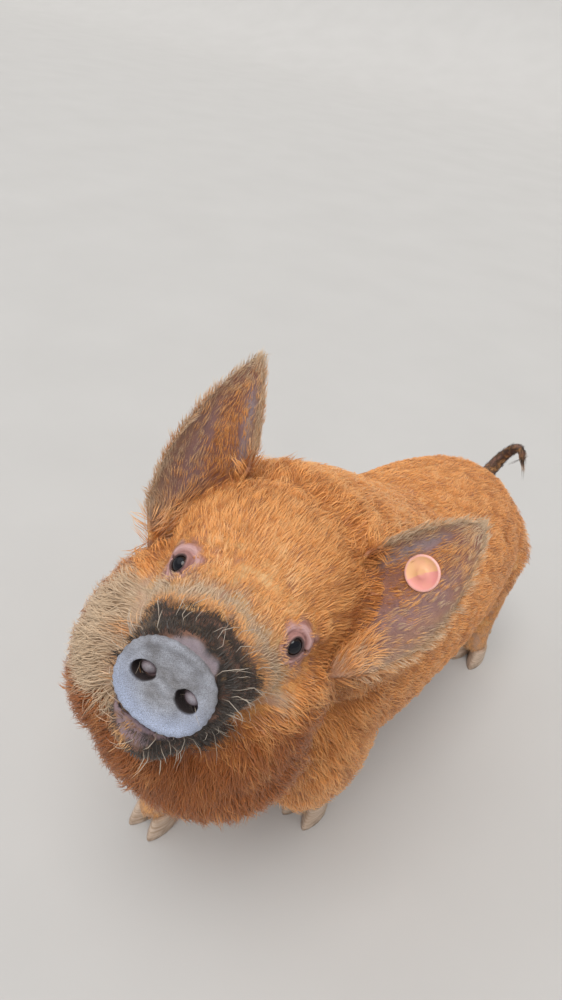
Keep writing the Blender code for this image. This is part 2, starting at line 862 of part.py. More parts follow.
def fuse_locks(host, locks):
    """Join locks to their host by one union, quick because all of them are closed."""
    group = bpy.data.collections.new("locks")
    for piece in locks:
        group.objects.link(piece)
    step = host.modifiers.new("locks", "BOOLEAN")
    step.operation = "UNION"
    step.solver = COATED
    step.operand_type = "COLLECTION"
    step.collection = group
    settle(host)
    for piece in locks:
        bpy.data.objects.remove(piece, do_unlink=True)
    bpy.data.collections.remove(group)
    return largest_surface(host)


def loosen(obj):
    """Draw apart the corners where two folds of the coat meet in one point."""
    build = bmesh.new()
    build.from_mesh(obj.data)
    build.verts.ensure_lookup_table()
    tree = KDTree(len(build.verts))
    for vert in build.verts:
        tree.insert(vert.co, vert.index)
    tree.balance()
    moves = {}
    for vert in build.verts:
        if len(tree.find_range(vert.co, TOUCH)) < 2:
            continue
        others = [edge.other_vert(vert).co for edge in vert.link_edges]
        middle = sum(others, Vector()) / len(others)
        moves[vert.index] = (middle - vert.co).normalized() * TOUCH_GAP
    for index, move in moves.items():
        build.verts[index].co += move
    build.to_mesh(obj.data)
    build.free()
    return obj


def part_off(body, name, zone_centre, zone_size, zone_turn):
    """Cut the part of body inside a box into its own node, a gap away from the rest."""
    node = copy_of(body, name)
    inner = [size - GAP for size in zone_size]
    outer = [size + GAP for size in zone_size]
    combine(node, box("zone", zone_centre, inner, zone_turn), "INTERSECT", COATED)
    combine(body, box("zone", zone_centre, outer, zone_turn), "DIFFERENCE", COATED)
    return node


def turned_to(direction, up):
    """Return a rotation whose -Y axis points along direction, with Z near up."""
    back = -direction.normalized()
    right = back.cross(up).normalized()
    above = right.cross(back).normalized()
    return Matrix((right, back, above)).transposed().to_4x4()


def plane_zone(point, normal, reach):
    """Return centre, size and turn of a box lying beyond a plane, towards its normal."""
    turn = turned_to(normal, Vector((0, 0, 1)))
    centre = point + normal.normalized() * (reach / 2)
    return centre, Vector((reach * 2, reach, reach * 2)), turn


def part_legs(body):
    """Part the four legs from the trunk and return them."""
    legs = {}
    for foot, (foot_x, foot_y) in FEET.items():
        root_x, root_y = leg_root(foot)
        shear = Matrix.Identity(4)
        shear[0][2] = (root_x - foot_x) / LEG_ZONE_TOP
        shear[1][2] = (root_y - foot_y) / LEG_ZONE_TOP
        offset = mirrored(LEG_ZONE_CENTRE, side_of(foot))
        centre = Vector((foot_x, foot_y, 0)) + shear.to_3x3() @ offset
        turn = shear @ Matrix.Rotation(-LEG_ZONE_LEAN * side_of(foot), 4, "Y")
        legs[foot] = part_off(body, "leg_" + foot, centre, LEG_ZONE_SIZE, turn)
    return legs


def trim_sole(leg):
    """Cut the leg level at its coronet."""
    below = 0.2
    centre = Vector((0, 0, CORONET + GAP - below / 2))
    combine(leg, box("below", centre, Vector((2, 2, below))), "DIFFERENCE", COATED)


def claw(name, foot_x, foot_y, lean):
    """Make one claw of a hoof, from its flat sole to the coronet."""
    points = []
    for height, wide, toe, heel in CLAW_RINGS:
        for side in range(CLAW_SIDES):
            angle = 2 * math.pi * side / CLAW_SIDES
            reach = toe if math.sin(angle) > 0 else heel
            narrow = 1.0 - CLAW_TAPER * max(math.sin(angle), 0.0) ** 2
            x = CLAW_HALF_WIDTH * wide * narrow * math.cos(angle)
            y = -CLAW_LENGTH * reach * math.sin(angle)
            points.append(Vector((x, y, height * CORONET)))
    obj = mesh_object(name, points, ring_faces(len(CLAW_RINGS), CLAW_SIDES), "horn")
    place = Matrix.Translation((foot_x + CLAW_SPREAD * lean, foot_y, 0))
    obj.data.transform(place @ Matrix.Rotation(CLAW_SPLAY * lean, 4, "Z"))
    return obj


def hoof(foot):
    """Make one hoof: two claws joined by the bulb of the heel."""
    foot_x, foot_y = FEET[foot]
    node = claw("hoof_" + foot, foot_x, foot_y, 1)
    centre = Vector((foot_x, foot_y + HEEL_BACK, CORONET - HEEL_BRIDGE.z / 2))
    combine(node, box("bridge", centre, HEEL_BRIDGE), "UNION")
    combine(node, claw("claw", foot_x, foot_y, -1), "UNION")
    return node


def dewclaw(name, foot, side, grow=0.0):
    """Make one of the two small claws behind a foot."""
    foot_x, foot_y = FEET[foot]
    centre = Vector((foot_x + DEWCLAW_SPREAD * side, foot_y + DEWCLAW_BACK, DEWCLAW_DROP))
    turn = Matrix.Rotation(DEWCLAW_LEAN, 4, "X")
    radii = [radius + grow for radius in DEWCLAW_RADII]
    return ball(name, centre, radii, "horn", turn, subdivisions=2)


def add_dewclaws(legs):
    """Set two dewclaws into every leg."""
    for foot, leg in legs.items():
        for side, word in ((1, "a"), (-1, "b")):
            combine(leg, dewclaw("socket", foot, side, GAP), "DIFFERENCE", COATED)
            dewclaw("dewclaw_" + foot + "_" + word, foot, side)


def curve_point(points, share):
    """Return a point of the cubic curve through four control points."""
    a, b, c, d = (Vector(point) for point in points)
    rest = 1.0 - share
    return a * rest**3 + b * (3 * rest**2 * share) + c * (3 * rest * share**2) + d * share**3


def ear_point(side_name, along, across):
    """Return a point of the ear's middle sheet; along is 0 at the base and 1 at the tip."""
    share = max(along, 0.0)
    inner = curve_point(EAR_INNER[side_name], share)
    outer = curve_point(EAR_OUTER[side_name], share)
    bow = max(4 * across * (1 - across), 0.0) ** EAR_BOW
    cup = EAR_CUP * max(1 - share, 0.0) ** EAR_FLATTEN
    point = inner.lerp(outer, across) + Vector((0, 1, 0)) * (cup * bow)
    if along < 0:
        middle = (curve_point(EAR_INNER[side_name], 0) + curve_point(EAR_OUTER[side_name], 0)) / 2
        tip = curve_point(EAR_INNER[side_name], 1)
        point = point.lerp(middle, -along * EAR_DRAW_IN) + (tip - middle) * along
    return point


def fringe(row, across):
    """Return how far a margin point of the ear reaches out as the tip of a small lock."""
    left = EAR_STEPS + 1 - row
    margin = across in (0.0, 1.0)
    if not margin or row < EAR_FRINGE_START or left <= 0 or row % 2 == 0:
        return 0.0
    return EAR_FRINGE * min(left / EAR_FRINGE_FADE, 1.0)


def ear_axes(side_name, along, across, step_along, step_across):
    """Return the ear's up and wide directions at a point, and the normal of its hollow face."""
    up = ear_point(side_name, along + step_along, across)
    up = up - ear_point(side_name, along - step_along, across)
    wide = ear_point(side_name, along, min(across + step_across, 1.0))
    wide = wide - ear_point(side_name, along, max(across - step_across, 0.0))
    normal = up.cross(wide).normalized()
    return up, wide, -normal if normal.y > 0 else normal


def ear(name, side_name, grow=0.0):
    """Make one cupped ear as a closed sheet of even thickness with a fringe on its margins."""
    half = EAR_THICKNESS / 2 + grow
    rows = [-EAR_ROOT - grow * EAR_ROOT_GROW]
    rows += [index / EAR_STEPS for index in range(EAR_STEPS + 1)]
    front = []
    back = []
    for row, along in enumerate(rows):
        for index in range(EAR_ACROSS):
            across = index / (EAR_ACROSS - 1)
            place = ear_point(side_name, along, across)
            steps = (EAR_PROBE_ALONG, EAR_PROBE_ACROSS)
            up, wide, normal = ear_axes(side_name, along, across, *steps)
            normal = normal.lerp(Vector((0, -1, 0)), max(along, 0.0) ** 2).normalized()
            reach = fringe(row, across)
            aside = wide.normalized() * ((grow + reach) * (2 * across - 1))
            aside += up.normalized() * (reach * EAR_FRINGE_LEAN)
            thick = half * (EAR_FRINGE_SHARE if reach else 1.0)
            front.append(place + aside + normal * thick)
            back.append(place + aside - normal * thick)
    return sheet(name, front, back, len(rows), EAR_ACROSS)


def sheet(name, front, back, rows, columns):
    """Close two equal grids of points into one thin solid."""
    points = front + back
    shift = len(front)
    faces = []
    for row in range(rows - 1):
        for column in range(columns - 1):
            corner = row * columns + column
            opposite = corner + 1 + columns
            for face in ((corner, corner + 1, opposite), (corner, opposite, corner + columns)):
                faces.append(face)
                faces.append(tuple(shift + index for index in reversed(face)))
    rim = [column for column in range(columns)]
    rim += [row * columns + columns - 1 for row in range(1, rows)]
    rim += [(rows - 1) * columns + column for column in range(columns - 2, -1, -1)]
    rim += [row * columns for row in range(rows - 2, 0, -1)]
    for index, here in enumerate(rim):
        after = rim[(index + 1) % len(rim)]
        faces.append((after, here, here + shift))
        faces.append((after, here + shift, after + shift))
    return mesh_object(name, points, faces)


def tag(name, grow=0.0):
    """Make the ear tag: a button in front of the left ear, a pin and a back plate."""
    along, across = TAG_PLACE
    place = ear_point("left", along, across)
    _, _, normal = ear_axes("left", along, across, TAG_PROBE, TAG_PROBE)
    front = TAG_LIFT + TAG_THICKNESS
    # Distance along the axis and radius of each ring, from the button to the back plate
    profile = (
        (front + grow, TAG_RADIUS - TAG_BEVEL + grow),
        (front - TAG_BEVEL + grow, TAG_RADIUS + grow),
        (TAG_LIFT - grow, TAG_RADIUS + grow),
        (TAG_LIFT - grow, TAG_PIN_RADIUS + grow),
        (-TAG_LIFT + grow, TAG_PIN_RADIUS + grow),
        (-TAG_LIFT + grow, TAG_BACK_RADIUS + grow),
        (-TAG_LIFT - TAG_BACK_THICKNESS - grow, TAG_BACK_RADIUS + grow),
    )
    turn = turned_to(normal, Vector((0, 0, 1)))
    points = []
    for distance, radius in profile:
        for side in range(TAG_SIDES):
            angle = 2 * math.pi * side / TAG_SIDES
            local = Vector((radius * math.cos(angle), -distance, radius * math.sin(angle)))
            points.append(place + turn.to_3x3() @ local)
    return mesh_object(name, points, ring_faces(len(profile), TAG_SIDES), "tag_plastic")


def build_ears(host):
    """Set both ears into the head, and the tag into the left ear."""
    frame = head_frame()
    ears = []
    for side_name in ("left", "right"):
        socket = ear("socket", side_name, GAP)
        socket.data.transform(frame)
        combine(host, socket, "DIFFERENCE", COATED)
        node = ear("ear_" + side_name, side_name)
        node.data.transform(frame)
        ears.append(node)
    hole = tag("hole", GAP)
    hole.data.transform(frame)
    combine(ears[0], hole, "DIFFERENCE", COATED)
    tag("ear_tag").data.transform(frame)
    return ears


def disc_frame():
    """Return the matrix from the disc's own frame to the whole animal's."""
    slope = Matrix.Rotation(-DISC_SLOPE, 4, "X")
    return head_frame() @ Matrix.Translation(DISC_CENTRE) @ slope


def snout_disc():
    """Make the disc of the snout, with a rounded rim and a shallow dish."""
    points = []
    for depth, share in DISC_RINGS:
        for side in range(DISC_SIDES):
            angle = 2 * math.pi * side / DISC_SIDES
            wide = math.copysign(abs(math.cos(angle)) ** DISC_SQUARE, math.cos(angle))
            high = math.copysign(abs(math.sin(angle)) ** DISC_SQUARE, math.sin(angle))
            x = DISC_HALF_WIDTH * share * wide
            z = DISC_HALF_HEIGHT * share * high
            points.append(Vector((x, depth, z)))
    obj = mesh_object("disc", points, ring_faces(len(DISC_RINGS), DISC_SIDES))
    obj.data.transform(disc_frame())
    return obj


def nostril(side):
    """Make the cutter of one nostril."""
    turn = Matrix.Rotation(NOSTRIL_SLANT * side, 4, "Y")
    place = mirrored(NOSTRIL_PLACE, side)
    obj = ball("nostril", place, NOSTRIL_RADII, "ginger_coat", turn, subdivisions=2)
    obj.data.transform(disc_frame())
    return obj


def mouth_path(find, lower):
    """Return points on the muzzle's surface along the mouth line, lowered a little."""
    frame = head_frame()
    path = []
    for step in range(MOUTH_STEPS):
        angle = MOUTH_ANGLE * (2 * step / (MOUTH_STEPS - 1) - 1)
        outward = Vector((math.sin(angle), -math.cos(angle), 0))
        height = MOUTH_HEIGHT - lower + MOUTH_RISE * (1 - math.cos(angle))
        start = Vector((0, MOUTH_AXIS_Y, height)) + outward * 0.2
        place, _ = find(frame @ start, frame.to_3x3() @ -outward)
        path.append(place)
    return path


def mouth_share(index):
    """Return the share of its radius that the mouth's roll has at a step, thin at both ends."""
    middle = math.sin(math.pi * index / (MOUTH_STEPS - 1))
    return MOUTH_END_SHARE + (1 - MOUTH_END_SHARE) * middle


def shape_mouth(head):
    """Raise the lower lip and cut the line of the mouth."""
    find = surface_finder(head)
    up = head_frame().to_3x3() @ Vector((0, 0, 1))
    lip = []
    for index, place in enumerate(mouth_path(find, LIP_RADIUS * LIP_LOWER)):
        radius = LIP_RADIUS * mouth_share(index)
        lip.append((place, radius, radius * LIP_FLAT))
    combine(head, tube("lip", lip, up, sides=MOUTH_SIDES), "UNION", COATED)
    groove = []
    for index, place in enumerate(mouth_path(find, 0.0)):
        radius = GROOVE_RADIUS * mouth_share(index)
        groove.append((place, radius, radius * GROOVE_FLAT))
    combine(head, tube("groove", groove, up, sides=MOUTH_SIDES), "DIFFERENCE", COATED)


def lid(centre, turn, upper):
    """Make one eyelid as a bent roll from one corner of the eye to the other."""
    rise = LID_OPEN_UP if upper else -LID_OPEN_DOWN
    stations = []
    for step in range(LID_STEPS):
        angle = math.pi * step / (LID_STEPS - 1)
        x = LID_HALF_WIDTH * math.cos(angle) * LID_CORNER
        z = (abs(rise) + LID_RADIUS * LID_SEAT) * math.sin(angle) * math.copysign(1, rise)
        radius = LID_RADIUS * (LID_END_SHARE + (1 - LID_END_SHARE) * math.sin(angle))
        flat = math.hypot(x, z)
        depth = math.sqrt(max((EYE_RADIUS + LID_CLEAR) ** 2 - flat**2, 0.0))
        place = centre + turn.to_3x3() @ Vector((x, -depth, z))
        stations.append((place, radius, radius))
    return tube("lid", stations, turn.to_3x3() @ Vector((0, 1, 0)), sides=LID_SIDES)


def build_eyes(head):
    """Set both eyes into the head between their lids."""
    frame = head_frame()
    find = surface_finder(head)
    for side, word in ((1, "left"), (-1, "right")):
        aim = frame.to_3x3() @ mirrored(EYE_AIM, side).normalized()
        place, _ = find(frame @ mirrored(EYE_PLACE, side) + aim * 0.1, -aim)
        centre = place - aim * (EYE_RADIUS - EYE_PROUD)
        up = frame.to_3x3() @ Vector((0, 0, 1))
        turn = turned_to(aim, up)
        combine(head, lid(centre, turn, True), "UNION", COATED)
        combine(head, lid(centre, turn, False), "UNION", COATED)
        socket = ball("socket", centre, [EYE_RADIUS + GAP] * 3, subdivisions=2)
        combine(head, socket, "DIFFERENCE", COATED)
        rise = (LID_OPEN_UP - LID_OPEN_DOWN) / 2
        middle = centre + aim * EYE_RADIUS + turn.to_3x3() @ Vector((0, 0, rise))
        radii = (LID_HALF_WIDTH, EYE_RADIUS, (LID_OPEN_UP + LID_OPEN_DOWN) / 2)
        opening = ball("opening", middle, radii, turn=turn, subdivisions=2)
        combine(head, opening, "DIFFERENCE", COATED)
        ball("eye_" + word, centre, [EYE_RADIUS] * 3, "eye", subdivisions=2)


def tail(name, grow=0.0):
    """Make the tail from its root inside the rump to its tip."""
    stations = []
    for index, (x, y, z, radius) in enumerate(TAIL):
        deeper = grow if index == 0 else 0.0
        stations.append(((x, y - deeper, z), radius + COAT_TAIL + grow, radius + COAT_TAIL + grow))
    return tube(name, stations, EAST, "dark_coat", sides=TAIL_SIDES)


def tuft_tail(node):
    """Root the tuft of the tail round its tip."""
    length, width = TAIL_LOCK
    tip = Vector(TAIL[-1][:3])
    before = Vector(TAIL[-2][:3])
    along = (tip - before).normalized()
    side = along.cross(Vector((0, 0, 1))).normalized()
    above = side.cross(along)
    locks = []
    for index, reach in enumerate(TAIL_LOCK_ENDS):
        angle = 2 * math.pi * index / len(TAIL_LOCK_ENDS)
        spread = side * math.cos(angle) + above * math.sin(angle)
        lie = (along + spread * TAIL_LOCK_SPREAD).normalized()
        flat = lie.cross(spread).normalized() * (width / 2)
        thick = spread * (width * TAIL_LOCK_THICK)
        middle = before + lie * (length * TAIL_LOCK_MIDDLE)
        end = before + lie * (length * reach)
        locks.append(blade(before - along * TAIL_LOCK_SUNK, [(middle, flat, thick)], [end]))
    return fuse_locks(node, locks)


def part_head(body):
    """Part the head and the neck from the trunk and return them."""
    frame = head_frame()
    poll = frame @ POLL_POINT
    throat = frame @ THROAT_POINT
    sideways = frame.to_3x3() @ EAST
    forward = sideways.cross(poll - throat).normalized()
    if forward.y > 0:
        forward = -forward
    head = part_off(body, "head", *plane_zone(poll, forward, ZONE_REACH))
    neck = part_off(body, "neck", *plane_zone(WITHERS_POINT, NECK_PLANE, ZONE_REACH))
    return head, neck


def stand_on_floor():
    """Shade every node and parent it to an empty that centres the whole over the origin."""
    nodes = [obj for obj in bpy.data.objects if obj.type == "MESH"]
    points = np.array([vert.co for node in nodes for vert in node.data.vertices])
    middle = (points.min(axis=0) + points.max(axis=0)) / 2
    pig = bpy.data.objects.new("pig", None)
    bpy.context.scene.collection.objects.link(pig)
    pig.location = (-middle[0], -middle[1], 0.0)
    for node in nodes:
        loosen(node)
        node.data.shade_smooth()
        node.data.set_sharp_from_angle(angle=SHARP_ANGLE)
        node.parent = pig
    bpy.context.view_layer.update()


def main():
    """Build the whole animal."""
    clear_scene()
    torso = fuse("torso", body_masses() + head_masses())
    grow_coat(torso)
    legs = part_legs(torso)
    head, _ = part_head(torso)
    for leg in legs.values():
        trim_sole(leg)
    for foot in FEET:
        hoof(foot)
    add_dewclaws(legs)
    combine(head, snout_disc(), "UNION", COATED)
    shape_mouth(head)
    for side in (1, -1):
        combine(head, nostril(side), "DIFFERENCE", COATED)
    build_eyes(head)
    build_ears(head)
    combine(torso, tail("root", GAP), "DIFFERENCE", COATED)
    tuft_tail(tail("tail"))
    stand_on_floor()


main()
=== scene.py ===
"""Looks of a life-size, still model of a young, shaggy, ginger pig.

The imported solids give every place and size.  One skin takes the place of the solids of flesh,
and a coat of solid tufts grows from it.  Eyes, claws and the ear tag are pieces of their own.
The pig faces -Y, its left side is +X and it stands on z = 0.  All sizes are in metres.
"""
import json
import logging
import math
from dataclasses import dataclass, field
from enum import Enum
from typing import Optional, Sequence

import bmesh
import bpy
import numpy as np
from bpy.types import Collection, Material, Mesh, Node, NodeSocket, NodeTree, Object
from mathutils import Matrix, Vector
from mathutils.bvhtree import BVHTree
from mathutils.kdtree import KDTree

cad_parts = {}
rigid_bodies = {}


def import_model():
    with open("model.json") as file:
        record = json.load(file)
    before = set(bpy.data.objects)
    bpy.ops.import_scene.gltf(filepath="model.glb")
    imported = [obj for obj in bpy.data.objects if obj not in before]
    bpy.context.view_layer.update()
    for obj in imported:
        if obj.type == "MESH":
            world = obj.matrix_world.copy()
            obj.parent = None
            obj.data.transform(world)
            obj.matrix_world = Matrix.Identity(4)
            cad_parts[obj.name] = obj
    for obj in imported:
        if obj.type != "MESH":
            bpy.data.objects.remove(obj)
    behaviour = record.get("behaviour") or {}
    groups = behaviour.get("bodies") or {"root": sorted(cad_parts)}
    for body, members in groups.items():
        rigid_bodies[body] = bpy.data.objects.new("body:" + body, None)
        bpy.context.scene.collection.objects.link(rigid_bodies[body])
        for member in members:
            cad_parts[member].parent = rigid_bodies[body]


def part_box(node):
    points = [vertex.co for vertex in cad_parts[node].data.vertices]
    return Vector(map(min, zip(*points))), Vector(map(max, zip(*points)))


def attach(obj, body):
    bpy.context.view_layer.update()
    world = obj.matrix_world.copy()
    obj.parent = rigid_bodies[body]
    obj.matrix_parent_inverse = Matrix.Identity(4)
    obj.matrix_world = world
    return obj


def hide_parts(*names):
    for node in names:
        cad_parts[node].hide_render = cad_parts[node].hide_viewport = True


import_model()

LOG = logging.getLogger("pig")
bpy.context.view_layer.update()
EAST = Vector((1, 0, 0))
Colour = tuple[float, float, float]
Place = tuple[float, float, float]
Shape = tuple[list[Vector], list[tuple[int, ...]]]


class Side(Enum):
    """A side of the animal; the value is the sign of its x."""

    LEFT = 1
    RIGHT = -1

    @property
    def word(self) -> str:
        """Return the word used in names."""
        return self.name.lower()


class Foot(Enum):
    """The four feet, each with its place on the floor: x, y."""

    FORE_LEFT = (0.064, -0.172)
    FORE_RIGHT = (-0.090, -0.332)
    HIND_LEFT = (0.112, 0.292)
    HIND_RIGHT = (-0.108, 0.262)

    @property
    def word(self) -> str:
        """Return the word used in names."""
        return self.name.lower()

    @property
    def sign(self) -> int:
        """Return 1 on the left side and -1 on the right."""
        return 1 if self.value[0] > 0 else -1

    @property
    def fore(self) -> bool:
        """Say whether the foot is a front one."""
        return self.name.startswith("FORE")


class Region(Enum):
    """The parts of the skin that each carry a coat piece of their own."""

    TRUNK_FRONT = 0
    TRUNK_MIDDLE = 1
    TRUNK_BACK = 2
    NECK_LEFT = 3
    NECK_RIGHT = 4
    FACE = 5
    CHEEK_LEFT = 6
    CHEEK_RIGHT = 7
    EAR_LEFT = 8
    EAR_RIGHT = 9
    LEGS = 10
    TAIL = 11

    @property
    def piece(self) -> str:
        """Return the name of the coat piece."""
        return "coat_" + self.name.lower()


# Distance from a foot's place to the back of its hoof
HOOF_BACK = 0.0245


def find_shift() -> Vector:
    """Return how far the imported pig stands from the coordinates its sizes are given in."""
    low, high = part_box("hoof_hind_left")
    foot_x, foot_y = Foot.HIND_LEFT.value
    return Vector(((low[0] + high[0]) / 2 - foot_x, high[1] - foot_y - HOOF_BACK, 0.0))


SHIFT = find_shift()


def box_middle(node: str) -> Vector:
    """Return the middle of a solid's box, in the coordinates that the sizes are given in."""
    low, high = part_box(node)
    return (Vector(low) + Vector(high)) / 2 - SHIFT


@dataclass(frozen=True)
class HeadFrame:
    """Where the head is and how it is turned, lifted and tilted."""

    point: Place = (0.047, -0.391, 0.562)
    turn: float = math.radians(19.3)
    lift: float = math.radians(21.5)
    tilt: float = math.radians(18.5)

    def matrix(self) -> Matrix:
        """Return the matrix from the head's own frame."""
        turned = Matrix.Rotation(self.turn, 4, "Z") @ Matrix.Rotation(-self.lift, 4, "X")
        return Matrix.Translation(self.point) @ turned @ Matrix.Rotation(self.tilt, 4, "Y")

    def place(self, point: Sequence[float], side: int = 1) -> Vector:
        """Return a point given in the head's frame, mirrored for the right side."""
        return self.matrix() @ Vector((point[0] * side, point[1], point[2]))

    def way(self, direction: Sequence[float], side: int = 1) -> Vector:
        """Return a direction given in the head's frame, mirrored for the right side."""
        local = Vector((direction[0] * side, direction[1], direction[2]))
        return (self.matrix().to_3x3() @ local).normalized()

    def local(self, points: np.ndarray) -> np.ndarray:
        """Return points given in the whole pig's frame in the head's own frame."""
        back = np.array(self.matrix().inverted())
        return points @ back[:3, :3].T + back[:3, 3]


HEAD = HeadFrame()


def mirrored(values: Sequence[float], side: int) -> Vector:
    """Return a vector with its x times the side."""
    return Vector((values[0] * side, values[1], values[2]))


def turned_to(direction: Vector, up: Vector) -> Matrix:
    """Return a turn whose -Y axis points along direction, with Z near up."""
    back = -direction.normalized()
    right = back.cross(up).normalized()
    above = right.cross(back).normalized()
    return Matrix((right, back, above)).transposed()


def smooth_step(values: np.ndarray, low: float, high: float) -> np.ndarray:
    """Return 0 below low, 1 above high and an even rise between them."""
    share = np.clip((values - low) / (high - low), 0.0, 1.0)
    return share * share * (3.0 - 2.0 * share)


def search_tree(places: Sequence[Sequence[float]]) -> KDTree:
    """Return a tree that finds the nearest of the places, by its number."""
    tree = KDTree(len(places))
    for index, place in enumerate(places):
        tree.insert(place, index)
    tree.balance()
    return tree


def loft_faces(rings: int, sides: int) -> list[tuple[int, ...]]:
    """Return the faces that join rings of points into a tube with two end caps."""
    faces = []
    for ring in range(rings - 1):
        for side in range(sides):
            low = ring * sides + side
            after = ring * sides + (side + 1) % sides
            faces.append((low, after, after + sides, low + sides))
    faces.append(tuple(range(sides)))
    faces.append(tuple(range((rings - 1) * sides, rings * sides)))
    return faces


def tube_shape(stations: Sequence[tuple], across: Vector, sides: int = 48) -> Shape:
    """Loft a closed tube through stations.

    Args:
        stations: each a centre, a half width and a half height.
        across: the direction that the half widths keep to.
        sides: how many sides a ring has.

    Returns:
        The points and faces of the tube.
    """
    points = []
    centres = [Vector(station[0]) for station in stations]
    last = len(centres) - 1
    for index, (_, half_width, half_height) in enumerate(stations):
        along = (centres[min(index + 1, last)] - centres[max(index - 1, 0)]).normalized()
        wide = (across - along * across.dot(along)).normalized()
        high = along.cross(wide)
        for side in range(sides):
            angle = 2 * math.pi * side / sides
            offset = wide * (half_width * math.cos(angle)) + high * (half_height * math.sin(angle))
            points.append(centres[index] + offset)
    return points, loft_faces(last + 1, sides)


def ball_shape(centre: Vector, radii: Sequence[float], turn: Optional[Matrix] = None, fine: int = 5) -> Shape:
    """Make a closed ellipsoid.

    Args:
        centre: its middle.
        radii: its three radii.
        turn: how it is turned.
        fine: how often the first twenty faces are split.

    Returns:
        The points and faces of the ellipsoid.
    """
    build = bmesh.new()
    bmesh.ops.create_icosphere(build, subdivisions=fine, radius=1.0)
    frame_of = Matrix.Translation(centre) @ (turn or Matrix.Identity(3)).to_4x4()
    bmesh.ops.transform(build, matrix=frame_of @ Matrix.Diagonal((*radii, 1.0)), verts=build.verts)
    points = [vert.co.copy() for vert in build.verts]
    faces = [tuple(vert.index for vert in face.verts) for face in build.faces]
    build.free()
    return points, faces


def make_object(name: str, shapes: Sequence[Shape]) -> Object:
    """Make one object of several closed shapes, with their faces outward."""
    points = []
    faces = []
    for shape_points, shape_faces in shapes:
        start = len(points)
        points.extend(tuple(point) for point in shape_points)
        faces.extend(tuple(start + index for index in face) for face in shape_faces)
    mesh = bpy.data.meshes.new(name)
    mesh.from_pydata(points, [], faces)
    build = bmesh.new()
    build.from_mesh(mesh)
    bmesh.ops.recalc_face_normals(build, faces=build.faces)
    build.to_mesh(mesh)
    build.free()
    obj = bpy.data.objects.new(name, mesh)
    bpy.context.scene.collection.objects.link(obj)
    return obj


def shape_of(obj: Object) -> Shape:
    """Return the points and faces of an object's mesh and remove the object."""
    points = [vert.co.copy() for vert in obj.data.vertices]
    faces = [tuple(face.vertices) for face in obj.data.polygons]
    remove(obj)
    return points, faces


def remove(obj: Object) -> None:
    """Remove an object and its mesh."""
    mesh = obj.data
    bpy.data.objects.remove(obj, do_unlink=True)
    if mesh and mesh.users == 0:
        bpy.data.meshes.remove(mesh)


def settle(obj: Object) -> Object:
    """Apply an object's modifiers to its mesh."""
    graph = bpy.context.evaluated_depsgraph_get()
    mesh = bpy.data.meshes.new_from_object(obj.evaluated_get(graph), depsgraph=graph)
    old = obj.data
    obj.modifiers.clear()
    obj.data = mesh
    bpy.data.meshes.remove(old)
    return obj


def fuse(name: str, shapes: Sequence[Shape], voxel: float, rounds: int) -> Object:
    """Fuse overlapping closed shapes into one surface and smooth it."""
    obj = make_object(name, shapes)
    remesh = obj.modifiers.new("fuse", "REMESH")
    remesh.mode = "VOXEL"
    remesh.voxel_size = voxel
    smooth = obj.modifiers.new("smooth", "SMOOTH")
    smooth.factor = 0.5
    smooth.iterations = rounds
    return settle(obj)


def carve(obj: Object, shapes: Sequence[Shape]) -> Object:
    """Cut closed shapes out of an object."""
    cutter = make_object("cutter", shapes)
    cut = obj.modifiers.new("carve", "BOOLEAN")
    cut.operation = "DIFFERENCE"
    cut.solver = "MANIFOLD"
    cut.object = cutter
    settle(obj)
    remove(cutter)
    return obj


def points_of(obj: Object) -> np.ndarray:
    """Return the corners of an object's mesh as an array."""
    flat = np.empty(len(obj.data.vertices) * 3, dtype=np.float64)
    obj.data.vertices.foreach_get("co", flat)
    return flat.reshape(-1, 3)


def normals_of(obj: Object) -> np.ndarray:
    """Return the normals at the corners of an object's mesh as an array."""
    flat = np.empty(len(obj.data.vertices) * 3, dtype=np.float32)
    obj.data.vertices.foreach_get("normal", flat)
    return flat.reshape(-1, 3).astype(np.float64)


def put_points(obj: Object, points: np.ndarray) -> None:
    """Move the corners of an object's mesh."""
    obj.data.vertices.foreach_set("co", points.astype(np.float32).ravel())
    obj.data.update()


def put_value(mesh: Mesh, name: str, values: np.ndarray) -> None:
    """Store one value, or one vector, for each corner of a mesh under a name."""
    kind, key = ("FLOAT", "value") if values.ndim == 1 else ("FLOAT_VECTOR", "vector")
    layer = mesh.attributes.get(name) or mesh.attributes.new(name, kind, "POINT")
    layer.data.foreach_set(key, values.astype(np.float32).ravel())


def get_value(mesh: Mesh, name: str, width: int = 1) -> np.ndarray:
    """Return the values stored for each corner of a mesh under a name."""
    flat = np.empty(len(mesh.vertices) * width, dtype=np.float32)
    mesh.attributes[name].data.foreach_get("value" if width == 1 else "vector", flat)
    return flat if width == 1 else flat.reshape(-1, width)


